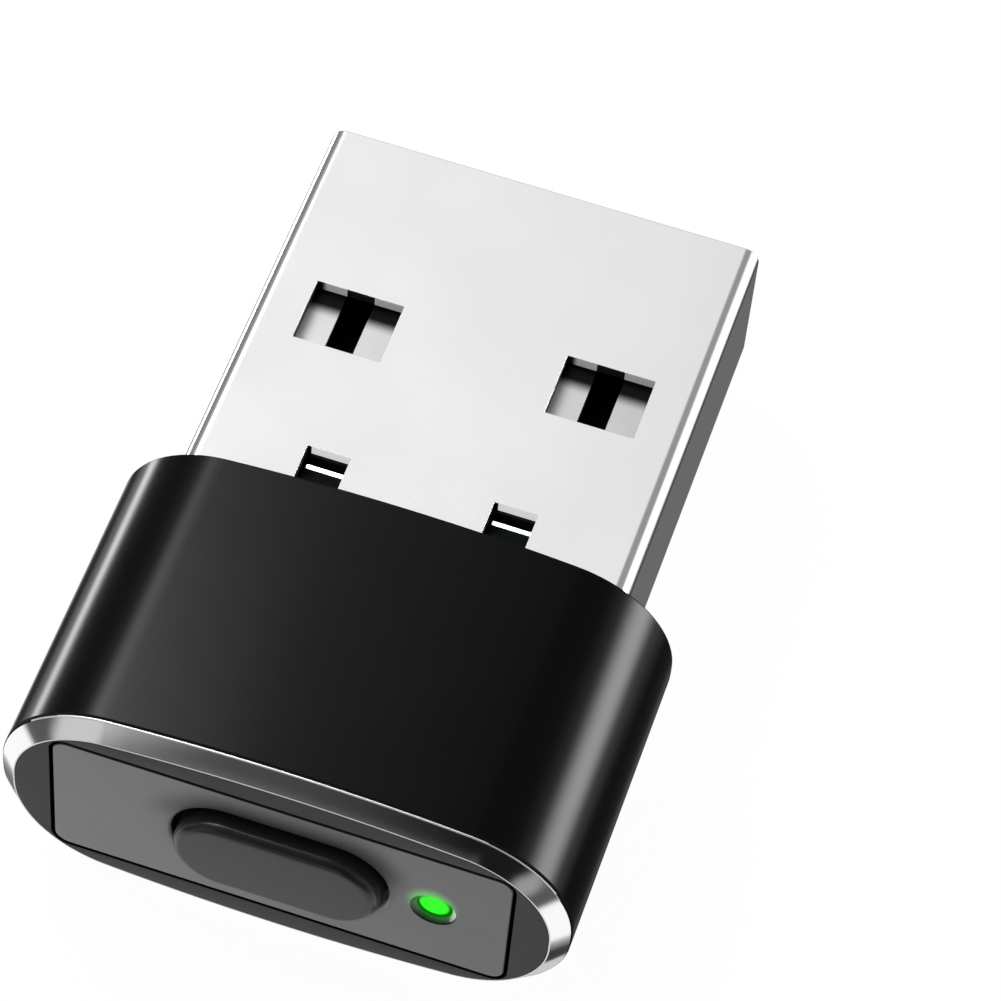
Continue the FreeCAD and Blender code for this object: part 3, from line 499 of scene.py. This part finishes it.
def rings(outline, profile, shift=(0.0, 0.0)):
    """One ring of (x, y, z) for each (y, inset)."""
    return [[(x + shift[0], y, z + shift[1]) for x, z in outline(inset)] for y, inset in profile]


print("points in a rounded corner:", len(rounded([(0, 0, 0), (1, 0, 0.1), (1, 1, 0)])) - 2)

# %% [markdown]
# ## From rings to a piece
# Rings that come back to the first make a tube wall, as on a sleeve. Open ones are closed with a flat cap at
# each end. Smooth shading stays on, and only edges sharper than a set angle are marked sharp, so the small
# rounded corners catch a thin line of light as real ones do.

# %% Piece maker
def make_piece(name, vertices, faces, finish, body="case", slot=None, stands_for=(), sharp=32.0, merge=False):
    """A mesh piece from points in millimetres, that rides on a body and stands for CAD nodes."""
    mesh = bpy.data.meshes.new(name)
    shape = bmesh.new()
    points = [shape.verts.new(Vector(v) * MM) for v in vertices]
    for face in faces:
        shape.faces.new([points[i] for i in face])
    bmesh.ops.remove_doubles(shape, verts=shape.verts, dist=1e-7)
    bmesh.ops.recalc_face_normals(shape, faces=shape.faces)
    if merge:
        bmesh.ops.dissolve_limit(shape, angle_limit=radians(0.3), verts=shape.verts, edges=shape.edges)
    shape.to_mesh(mesh)
    shape.free()
    mesh.polygons.foreach_set("use_smooth", [True] * len(mesh.polygons))
    mesh.set_sharp_from_angle(angle=radians(sharp))
    mesh.materials.append(finish)
    piece = bpy.data.objects.new(name, mesh)
    bpy.context.scene.collection.objects.link(piece)
    even = piece.modifiers.new("flat_faces_stay_flat", "WEIGHTED_NORMAL")
    even.keep_sharp = True
    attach(piece, body)
    if stands_for:
        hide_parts(*stands_for)
    print("%s: %d faces" % (name, len(mesh.polygons)))
    return piece


def ring_faces(stack, closed):
    """Faces between rings, and caps at both ends where the stack isn't closed."""
    count, last = len(stack[0]), len(stack) - 1
    pairs = [(i, (i + 1) % len(stack)) for i in range(last + 1 if closed else last)]
    faces = [(a * count + k, a * count + (k + 1) % count, b * count + (k + 1) % count, b * count + k)
             for a, b in pairs for k in range(count)]
    if not closed:
        faces += [tuple(range(count)), tuple(range(last * count, (last + 1) * count))]
    return faces


def ring_piece(name, stack, finish, closed=True, **how):
    """A piece from a stack of rings."""
    return make_piece(name, [p for ring in stack for p in ring], ring_faces(stack, closed), finish, **how)


print("piece makers ready")

# %% [markdown]
# ## Sleeve
# The sleeve is a cut length of drawn tube with an end wall that the plug comes through. Walking round its
# wall in one closed profile gives outside, bevel, rim, pocket, inside and end wall in one piece, with a tiny
# rounding at every edge that shows. Each face then gets its finish by where it lies: the bevel is cut bright,
# the edges of the cut are broken, and a hair of dull black beside the bevel and on the end wall's edge is
# painted shade.

# %% Sleeve
REAR, SEAT, POCKET_FLOOR, END_WALL = -8.80, -8.20, -7.40, -1.10
# the side is dull black, as painted shade, from here to the bevel
BEVEL_START, BEVEL_DEPTH, PAINTED_SHADE_START = -8.41, 0.436, -8.30
LIP, WALL = BEVEL_DEPTH + 0.032, 0.80
outside = rounded([
    (0.0, 1.0, 0), (0.0, 0.0, 0.05),                    # end wall
    (PAINTED_SHADE_START, 0.0, 0), (BEVEL_START, 0.0, 0.08),     # side
    (REAR, BEVEL_DEPTH, 0.04), (REAR, LIP, 0.01),       # bevel and lip
    (POCKET_FLOOR, LIP, 0), (POCKET_FLOOR, WALL, 0),    # pocket
    (END_WALL, WALL, 0)])                               # inside
mouth = soft_box(6.04, 2.29, 0.46)
way_in = rounded([(END_WALL, 0.0, 0), (0.0, 0.0, 0.05), (0.0, -0.2, 0)])
sleeve = ring_piece("sleeve_shell", rings(sleeve_outline, outside) + rings(mouth, way_in), black_anodised,
                    slot="anodised_black", stands_for=["sleeve"])
for finish in (cut_aluminium, broken_edge, dull_black):
    sleeve.data.materials.append(finish)
# the last finish, dull black, is painted shade
DYED, CUT, BROKEN, PAINTED_SHADE_BLACK = range(4)


def sleeve_finish(x, y, slope):
    """Which finish a face has, by its middle and by how much it faces along the sleeve."""
    turned_to_button = y < -8.34 and slope > 0.04
    if turned_to_button and 0.70 < slope < 0.80:
        return CUT
    if turned_to_button:
        first_facet, second_facet = y > -8.39, -8.40 < y <= -8.39
        near_an_end, round_an_end = not -5.9 < x < 5.2, not -6.55 < x < 6.95
        # painted shade: dull black on the bevel's first facet, near the ends and round them
        painted_shade_here = first_facet or second_facet and near_an_end or y > -8.6 and round_an_end
        return PAINTED_SHADE_BLACK if painted_shade_here else BROKEN
    # painted shade too: dull black beside the bevel and on the end wall's rounded edge
    front_edge = y > -0.05 and slope < 0.97
    return PAINTED_SHADE_BLACK if y < PAINTED_SHADE_START or front_edge else DYED


for face in sleeve.data.polygons:
    face.material_index = sleeve_finish(face.center.x / MM, face.center.y / MM, abs(face.normal.y))

# %% [markdown]
# ## End frame and face plate
# A dark insert fills the sleeve's end, and a lighter plate lies in its pocket with a hair of gap all round.
# The plate holds the well of the button and the lamp's countersunk hole. No light comes out of the gap, so
# the frame's pocket is dull black below its edge.

# %% End frame
frame_inset, gap, edge = 0.48, 0.09, 0.012
plate_outline = soft_box(5.93, 2.27, 0.40)
frame_front = rings(sleeve_outline, rounded(
    [(POCKET_FLOOR, frame_inset, 0), (REAR, frame_inset, edge), (REAR, frame_inset + edge, 0)]))
pocket = rings(plate_outline, rounded([(REAR, -gap - edge, 0), (REAR, -gap, edge), (SEAT, -gap, 0)]))
passage = rings(soft_box(3.26, 1.86, 1.86), [(SEAT, 0.0), (POCKET_FLOOR, 0.0)])
end_frame = ring_piece("end_frame_moulding", frame_front + pocket + passage, frame_plastic,
                       slot="dark_plastic", stands_for=["end_frame"])
end_frame.data.materials.append(dull_black)
for face in end_frame.data.polygons:
    if face.center.y / MM > REAR + 0.03:
        face.material_index = 1

# %% [markdown]
# ## The plate's finish
# The plate is fine matt grey with polished edges, whose colour is painted dark as the shade in the gap round
# it. Painted shade darkens it a little above the button and towards +X, and the lamp throws some green on it.
# One recipe makes both the plate and the thin ring that rounds the edge of its well; on the ring, the side that
# faces +X gets painted shade. The lamp's light is too weak beside the studio's to be traced without noise, so
# it is painted as a glow.

# %% Face plate finish
LAMP_X = 3.99


def plate_skin(wire, well=False):
    """Fine matt grey with painted shade above the button and towards +X, edges painted dark as shade, and the
    lamp's green painted on it.
    """
    x, _, z = spot_mm(wire)
    facing_x, facing_y, _ = way_out(wire)
    flat = (facing_y * -1.0).rise(0.90, 0.99)
    off_lamp = ((x - (LAMP_X - 0.04)) ** 2.0 + (z - 0.25) ** 2.0) ** 0.5
    spill = off_lamp.rise(0.86, 0.38) ** 2.0
    cloud, grain = noise(wire, 0.6), noise(wire, 9.0, 3.0)
    # random tone, plus painted shade that darkens the plate towards +X
    tone_and_painted_shade = (cloud * 0.5 + x.rise(5.0, -5.0) * 0.5).mix(grey(0.135), grey(0.172))
    past_end = wire.maths("MAXIMUM", x.unsigned() - 1.4, 0.0)
    off_button = (past_end ** 2.0 + z ** 2.0) ** 0.5
    # painted shade above the button
    painted_shade_above_button = off_button.rise(2.45, 1.5) * z.rise(0.2, 1.2) * 0.55
    # where this is 0 the colour is painted dark as shade: the plate's edges, or the well ring's side that faces
    # +X
    clear_of_painted_shade = facing_x.rise(0.75, -0.1) if well else flat
    colour = clear_of_painted_shade.mix(grey(0.012), painted_shade_above_button.mix(tone_and_painted_shade, BLACK))
    return {"Base Color": colour, "Roughness": 0.2 + 0.38 * flat, "Specular IOR Level": 0.35,
            "Emission Color": spill.mix(BLACK, (0.010, 0.36, 0.008)), "Emission Strength": 1.0,
            "Normal": bump(wire, grain * flat, 0.004)}


plate_plastic = make_finish("plate_plastic", plate_skin)
well_plastic = make_finish("well_plastic", lambda wire: plate_skin(wire, well=True))


def seat_skin(wire):
    """The cone around the lamp: dark, with a painted pale highlight on its right side and painted green light
    on it that fades outwards.
    """
    x, _, z = spot_mm(wire)
    off_lamp = ((x - LAMP_X) ** 2.0 + z ** 2.0) ** 0.5
    # painted highlight: the cone's right side is made paler, as if it caught the lamp
    right = x.rise(LAMP_X + 0.38, LAMP_X + 0.50) * off_lamp.rise(0.44, 0.50)
    cloud = noise(wire, 0.6)
    return {"Base Color": right.mix((0.04, 0.06, 0.04), (0.5, 0.62, 0.5)), "Roughness": 0.3 + 0.1 * cloud,
            "Emission Color": off_lamp.rise(0.56, 0.44).mix((0.0, 0.012, 0.0), (0.002, 0.13, 0.002)),
            "Emission Strength": 1.0}


seat_plastic = make_finish("seat_plastic", seat_skin)
print("plate finishes ready")

# %% [markdown]
# ## Face plate
# A flat plate with holes is quickest as a filled curve: the outlines of plate, well and lamp hole lie in one
# curve, its extrusion gives the thickness and its bevel rounds every edge alike. Two thin rings then line the
# well's edge and the lamp's cone.

# %% Face plate
def flat_plate(name, outlines, front, back, edge):
    """The points and faces of a plate with holes, whose every edge is rounded. Outlines are in (x, z)."""
    curve = bpy.data.curves.new(name, "CURVE")
    curve.dimensions, curve.fill_mode = "2D", "BOTH"
    for outline in outlines:
        spline = curve.splines.new("POLY")
        spline.points.add(len(outline) - 1)
        for point, (x, z) in zip(spline.points, outline):
            point.co = (x, z, 0.0, 1.0)
        spline.use_cyclic_u = True
    curve.bevel_depth, curve.bevel_resolution, curve.offset = edge, 5, -edge
    curve.extrude = (back - front) / 2 - edge
    holder = bpy.data.objects.new(name, curve)
    bpy.context.scene.collection.objects.link(holder)
    filled = bpy.data.meshes.new_from_object(holder.evaluated_get(bpy.context.evaluated_depsgraph_get()))
    vertices = [(v.co.x, (front + back) / 2 - v.co.z, v.co.y) for v in filled.vertices]
    faces = [tuple(f.vertices) for f in filled.polygons]
    bpy.data.objects.remove(holder)
    return vertices, faces


well_outline = soft_box(2.93, 1.53, 1.53)
plate_points, plate_faces = flat_plate(
    "plate", [plate_outline(0), well_outline(0), circle(LAMP_X, 0.0, 0.58)], REAR, SEAT, 0.045)
make_piece("face_panel", plate_points, plate_faces, plate_plastic, slot="grey_plate",
           stands_for=["face_plate"], sharp=5.0)
lamp_cone = [(-8.755, 0.42), (-8.68, 0.53), (SEAT, 0.53), (SEAT, 0.42)]
ring_piece("lamp_seat", rings(unit_circle, lamp_cone, (LAMP_X, 0.0)), seat_plastic, slot="grey_plate")
well_top = REAR - 0.001
well = rounded([(well_top, -0.20, 0), (well_top, 0.0, 0.12), (SEAT, 0.0, 0), (SEAT, -0.10, 0)], 8)
ring_piece("well_edge", rings(soft_box(2.81, 1.41, 1.41), well), well_plastic, slot="grey_plate")

# %% [markdown]
# ## Button
# The cap is a long round key with a satin face and polished, well rounded sides; a flange behind the plate
# keeps it in, and a short stem reaches the switch. It rides on the button's body, so it moves when pressed.

# %% Button
def button_skin(wire):
    """Satin where the surface faces outwards, polished black round the sides."""
    _, facing_y, _ = way_out(wire)
    face = (facing_y * -1.0).rise(0.93, 0.96)
    grain = noise(wire, 10.0, 2.0)
    return {"Base Color": face.mix(grey(0.018), grey(0.042)), "Specular IOR Level": 0.36,
            "Roughness": 0.24 + 0.30 * face, "Normal": bump(wire, grain * face, 0.003)}


button_gloss = make_finish("button_gloss", button_skin)
cap_front, flange_front, stem_front, stem_end = -9.28, -8.10, -7.72, -7.46
cap = rings(soft_box(2.68, 1.28, 1.28),
            rounded([(cap_front, 1.0, 0), (cap_front, 0.0, 0.26), (flange_front, 0.0, 0)], 8))
flange = rings(soft_box(3.21, 1.81, 1.81), [(flange_front, 0.0), (stem_front, 0.0)])
stem = rings(soft_box(0.60, 0.60, 0.60), [(stem_front, 0.0), (stem_end, 0.0)])
ring_piece("button_key", cap + flange + stem, button_gloss, closed=False, body="button",
           slot="button_black", stands_for=["button_cap"])

# %% [markdown]
# ## Lamp
# A clear plastic pin carries the diode's light to the end face. Its tip is a low dome that sits a little
# below the plate, and it glows, so its colour comes from emission.

# %% Lamp
def lit_plastic(wire):
    """Clear plastic full of green light, a little darker at its rim."""
    x, _, z = spot_mm(wire)
    off_lamp = ((x - (LAMP_X - 0.02)) ** 2.0 + z ** 2.0) ** 0.5
    core = off_lamp.rise(0.44, 0.33)
    cloud = noise(wire, 1.5)
    return {"Base Color": (0.0, 0.03, 0.0, 1.0), "Roughness": 0.45 + 0.05 * cloud,
            "Specular IOR Level": 0.05, "Emission Strength": 1.0,
            "Emission Color": core.mix((0.002, 0.09, 0.002), (0.031, 0.98, 0.019))}


lamp_glow = make_finish("lamp_glow", lit_plastic)
pin_radius, tip_y, foot_end = 0.45, -8.66, -6.60
tip = rounded([(tip_y, 0.25, 0), (tip_y, 0.0, 0.12), (POCKET_FLOOR, 0.0, 0)], 6)
pin = rings(soft_box(pin_radius, pin_radius, pin_radius), tip, (LAMP_X, 0.0))
foot = rings(soft_box(0.62, 0.775, 0.05), [(POCKET_FLOOR, 0.0), (foot_end, 0.0)], (LAMP_X, -0.175))
ring_piece("lamp_pin", pin + foot, lamp_glow, closed=False, slot="lamp_green", stands_for=["light_pipe"])

# %% [markdown]
# ## Plug shell
# The shell is stamped from flat sheet and rolled, so it is laid out flat first: one direction runs round the
# plug and the other along it. Both directions get a line at each edge of a window, notch, tab or slit, so
# that every cut follows the lines of one grid.

# %% Flat pattern
HALF_X, HALF_Z, BEND, SHEET, TIP = 6.0, 2.25, 0.42, 0.30, 12.05
WINDOW_X, WINDOW_Y = (2.25, 4.65), (4.97, 6.93)
NOTCH_X, NOTCH_Y = (1.93, 3.10), (-0.20, 1.80)
TAB_X, SEAM_HALF = (1.99, 3.04), 0.012
SLIT_HALF, SLIT_Y = 0.25, (-0.20, 0.35)
BEND_STEPS = 9
flat_x, flat_z = HALF_X - BEND, HALF_Z - BEND
stations = []


def straight(start, along, away, marks):
    """Stations on a straight run: where, and which way is out."""
    for mark in marks:
        stations.append((Vector(start) + Vector(along) * mark, Vector(away)))


def corner(x, z, turn_from):
    """Stations round one of the four bends."""
    for i in range(1, BEND_STEPS):
        angle = turn_from - pi / 2 * i / BEND_STEPS
        out = Vector((cos(angle), sin(angle)))
        stations.append((Vector((x, z)) + out * BEND, out))


def both_ways(*marks):
    """The marks and their mirror images, in order."""
    return sorted([m for m in marks] + [-m for m in marks])


straight((0, HALF_Z), (1, 0), (0, 1), both_ways(*NOTCH_X, *TAB_X, *WINDOW_X, flat_x))
corner(flat_x, flat_z, pi / 2)
straight((HALF_X, 0), (0, -1), (1, 0), both_ways(SLIT_HALF, flat_z))
corner(flat_x, -flat_z, 0.0)
straight((0, -HALF_Z), (-1, 0), (0, -1), both_ways(SEAM_HALF, *WINDOW_X, flat_x))
corner(-flat_x, -flat_z, -pi / 2)
straight((-HALF_X, 0), (0, 1), (-1, 0), both_ways(SLIT_HALF, flat_z))
corner(-flat_x, flat_z, pi)

TAB_FROM, TAB_KNEE, TAB_END, TAB_DROP, LIP_SLOPE = 0.36, 1.44, 1.57, 0.50, 0.16
TAIL, TIP_ROUND = -2.0, 0.04
lengthwise = sorted([TAIL, NOTCH_Y[0], 0.30, SLIT_Y[1], TAB_FROM, 0.42, 1.38, TAB_KNEE, 1.50, TAB_END,
                     NOTCH_Y[1], *WINDOW_Y, TIP - TIP_ROUND, 12.022, 12.034, 12.043, TIP])
print("flat pattern: %d x %d" % (len(stations), len(lengthwise)))

# %% [markdown]
# ## Rolling the sheet
# Cells of the grid are left out where the sheet is cut away. Each point that is left is wrapped round the
# rounded rectangle twice, once on the outside and once a sheet's thickness further in, and a wall joins the
# two wherever a cell has no neighbour. A small bevel then wears every edge of the cuts.

# %% Cut-outs and tabs
NEAR = 0.01


def left_out(spot, y):
    """True where the sheet is cut away, by the middle of a cell."""
    x, z = abs(spot.x), spot.y
    if abs(z) > HALF_Z - NEAR:
        if WINDOW_X[0] < x < WINDOW_X[1] and WINDOW_Y[0] < y < WINDOW_Y[1]:
            return True
        if z < 0:
            return x < SEAM_HALF
        in_notch = NOTCH_X[0] < x < NOTCH_X[1] and NOTCH_Y[0] < y < NOTCH_Y[1]
        return in_notch and not (TAB_X[0] < x < TAB_X[1] and y < TAB_END)
    return abs(z) < SLIT_HALF and x > HALF_X - NEAR and SLIT_Y[0] < y < SLIT_Y[1]


def tab_sink(spot, y):
    """How far the sheet is pressed in: only on the two tabs."""
    on_tab = TAB_X[0] - NEAR < abs(spot.x) < TAB_X[1] + NEAR and TAB_FROM < y < TAB_END + NEAR
    if spot.y < HALF_Z - NEAR or not on_tab:
        return 0.0
    slope = TAB_DROP * min(1.0, (y - TAB_FROM) / (TAB_KNEE - TAB_FROM))
    return slope - LIP_SLOPE * max(0.0, y - TAB_KNEE)


print("tabs sink by %.2f mm" % tab_sink(Vector((TAB_X[0], HALF_Z)), TAB_KNEE))

# %% Rolled shell
def on_shell(i, j, depth):
    """A point of the rolled sheet, from its station, its row and its depth in the sheet."""
    spot, out = stations[i]
    y = lengthwise[j]
    curl = max(0.0, y - (TIP - TIP_ROUND))
    if depth == 0.0 and curl:
        depth = TIP_ROUND - sqrt(max(0.0, TIP_ROUND ** 2 - curl ** 2))
    place = spot - out * (depth + tab_sink(spot, y))
    return place.x, y, place.y


def sheet_cells():
    """The kept cells as (station, row)."""
    cells = set()
    for i in range(len(stations)):
        spot = (stations[i][0] + stations[(i + 1) % len(stations)][0]) / 2
        for j in range(len(lengthwise) - 1):
            if not left_out(spot, (lengthwise[j] + lengthwise[j + 1]) / 2):
                cells.add((i, j))
    return cells


kept = sheet_cells()
shell_points, shell_faces, number = [], [], {}


def corner_point(i, j, depth):
    """The number of a point, which is made when it is first asked for."""
    key = (i % len(stations), j, depth)
    if key not in number:
        number[key] = len(shell_points)
        shell_points.append(on_shell(*key))
    return number[key]


for i, j in sorted(kept):
    ends = [(i, j), (i + 1, j), (i + 1, j + 1), (i, j + 1)]
    shell_faces.append([corner_point(*e, 0.0) for e in ends])
    shell_faces.append([corner_point(*e, SHEET) for e in reversed(ends)])
    beyond = [(i, j - 1), (i + 1, j), (i, j + 1), (i - 1, j)]
    for side, (ni, nj) in enumerate(beyond):
        if (ni % len(stations), nj) not in kept:
            a, b = ends[side], ends[(side + 1) % 4]
            shell_faces.append([corner_point(*b, 0.0), corner_point(*a, 0.0),
                                corner_point(*a, SHEET), corner_point(*b, SHEET)])
shell = make_piece("plug_sheet", shell_points, shell_faces, bright_steel, slot="plug_steel",
                   stands_for=["plug_shell"], merge=True)
shell.modifiers.clear()
edges = shell.modifiers.new("worn_edges", "BEVEL")
edges.width, edges.segments = 0.025 * MM, 2
edges.limit_method, edges.angle_limit = "ANGLE", radians(50)
edges.harden_normals = True
even = shell.modifiers.new("flat_faces_stay_flat", "WEIGHTED_NORMAL")
even.keep_sharp = True

# %% [markdown]
# ## Sheared edges
# Where the sheet was punched, its edge is torn and grey instead of bright. Light reaches the far edge of a
# window or notch from many sides at once, which painted light stands for: a paler colour and a small even glow.
# The corner beside it and the edges that face sideways get painted shade, and part of each window's far edge,
# in front of the tongue's slot, is painted dark as a reflection of the slot.

# %% Sheared edges
def sheared(wire):
    """Torn grey edge of the cut sheet, with painted light where it faces the sleeve and painted shade
    elsewhere.
    """
    x, y, z = spot_mm(wire)
    facing_x, facing_y, _ = way_out(wire)
    # painted reflection: the tongue's dark slot, mirrored in the window's far edge
    painted_slot_reflection = x.unsigned().between(3.06, 3.82, 0.01) * y.rise(6.8, 6.9)
    notch, right_half = y.rise(4.0, 3.0), x.rise(1.8, 1.9)
    notch_end = x.rise(-2.98, -3.0) + right_half * x.rise(2.05, 2.03)
    window_end = x.rise(-4.36, -4.52) + right_half * x.rise(2.54, 2.38)
    # painted shade in the corner beside each far edge
    painted_corner_shade = notch * notch_end + (1.0 - notch) * window_end
    # painted shade on edges that face sideways, in the corners and in front of the slot
    edge_clear_of_painted_shade = (1.0 - painted_slot_reflection) * (facing_x * facing_x).rise(0.6, 0.3) * (1.0 - painted_corner_shade)
    # painted light: paler colour and a small glow where the edge faces the sleeve
    faces_sleeve_painted_light = facing_y.rise(-0.3, -0.7)
    notch_top = notch * z.rise(1.5, 1.6)
    tear = noise(wire, 7.0, 2.0, (1.0, 1.0, 0.2))
    torn = tear.mix(grey(0.55), grey(0.72))
    return {"Base Color": (edge_clear_of_painted_shade * (0.45 + 0.55 * faces_sleeve_painted_light)).mix(grey(0.02), torn),
            "Specular IOR Level": 0.3, "Roughness": 0.5 + 0.1 * tear, "Normal": bump(wire, tear, 0.002),
            "Emission Color": (edge_clear_of_painted_shade * faces_sleeve_painted_light * (0.16 + 0.42 * notch_top)).mix(BLACK, grey(1.0)),
            "Emission Strength": 1.0}


shell.data.materials.append(make_finish("sheared_edge", sheared))
sheared_faces = 0
for face in shell.data.polygons:
    x, y, z = [abs(c) / MM for c in face.center]
    in_broad_face = z > 1.3 and x < 5.5 and abs(face.normal.z) < 0.3
    in_narrow_side = z < 0.3 and x > 5.6 and abs(face.normal.x) < 0.3
    if y < 11.0 and (in_broad_face or in_narrow_side):
        face.material_index = 1
        sheared_faces += 1
print("sheared faces:", sheared_faces)

# %% [markdown]
# ## Plug's plastic and the parts inside
# The tongue of the plug shows through the windows: pale plastic, with painted shade in its slots and at the
# windows' far ends. Its shape is right as it comes from the frame, so it only gets a finish. The parts inside
# are seen at the plug's mouth and whenever the case is taken apart, and each gets the finish of its kind.

# %% Tongue
def tongue_plastic(wire):
    """Pale plastic, painted darker towards +X, with painted shade that makes it black where the slots go down
    and a painted shadow at the windows' far ends.
    """
    x, y, z = spot_mm(wire)
    # painted shade: black where the slots go down
    painted_slot_shade = z.rise(1.88, 1.80) * z.rise(0.60, 0.68) * y.rise(9.5, 9.4)
    # painted shadow under each window's far edge
    painted_far_shadow = y.rise(6.08, 6.52) * y.rise(7.3, 7.2) * z.rise(0.60, 0.68)
    dark = painted_slot_shade + painted_far_shadow - painted_slot_shade * painted_far_shadow
    cloud, grain = noise(wire, 0.6), noise(wire, 9.0)
    # random tone, plus painted shade that darkens the plastic towards +X
    pale_with_painted_shade = (cloud * 0.5 + x.rise(3.0, -3.0) * 0.5).mix((0.35, 0.35, 0.348), (0.53, 0.53, 0.526))
    return {"Base Color": dark.mix(pale_with_painted_shade, grey(0.004)), "Roughness": 0.5, "Specular IOR Level": 0.02,
            "Normal": bump(wire, grain, 0.001)}


tongue = make_finish("tongue_plastic", tongue_plastic)
spacer_plastic = moulded("spacer_plastic", (0.006, 0.016, 0.012), 0.5)
node_finishes = {
    "plug_insulator": tongue, "contact_spacer": spacer_plastic, "circuit_board": board_lacquer,
    "switch_housing": carrier_plastic, "switch_cover": tin_plate, "switch_plunger": carrier_plastic,
    "switch_terminals": tin_plate, "controller_chip": chip_resin,
    "crystal_can": tin_plate, "voltage_regulator": chip_resin, "lamp_diode": white_plastic,
    "capacitors": ceramic, "resistors": chip_resin, "lower_carrier": carrier_plastic,
    "upper_carrier": carrier_plastic, "contact_power": gold_plate, "contact_ground": gold_plate,
    "contact_data_minus": gold_plate, "contact_data_plus": gold_plate,
}
for name, finish in node_finishes.items():
    for slot in nodes[name].material_slots:
        slot.material = finish
print("finished nodes:", len(node_finishes))

# %% [markdown]
# ## Snap dome
# Under the button a thin steel dome gives way with a click and pushes the button back. It is the one part
# that changes shape, so it is made again here as a cap of a ball.

# %% Snap dome
dome_low, dome_high = [Vector(c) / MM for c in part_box("switch_dome")]
rim, rise = (dome_high.x - dome_low.x) / 2, dome_high.y - dome_low.y
dome_sheet, dome_steps = 0.07, 12
ball = (rim ** 2 + rise ** 2) / (2 * rise)
dome_middle = ((dome_low.x + dome_high.x) / 2, (dome_low.z + dome_high.z) / 2)
dome_profile = []
for radius, order in ((ball, 1), (ball - dome_sheet, -1)):
    widest = acos((ball - rise) / radius)
    side_view = [(dome_low.y + ball - radius * cos(widest * i / dome_steps),
                  1.0 - max(radius * sin(widest * i / dome_steps), 0.01)) for i in range(dome_steps + 1)]
    dome_profile += side_view[::order]
dome = ring_piece("snap_dome", rings(unit_circle, dome_profile, dome_middle), tin_plate, closed=False,
                  slot="plug_steel", stands_for=["switch_dome"])
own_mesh(dome)
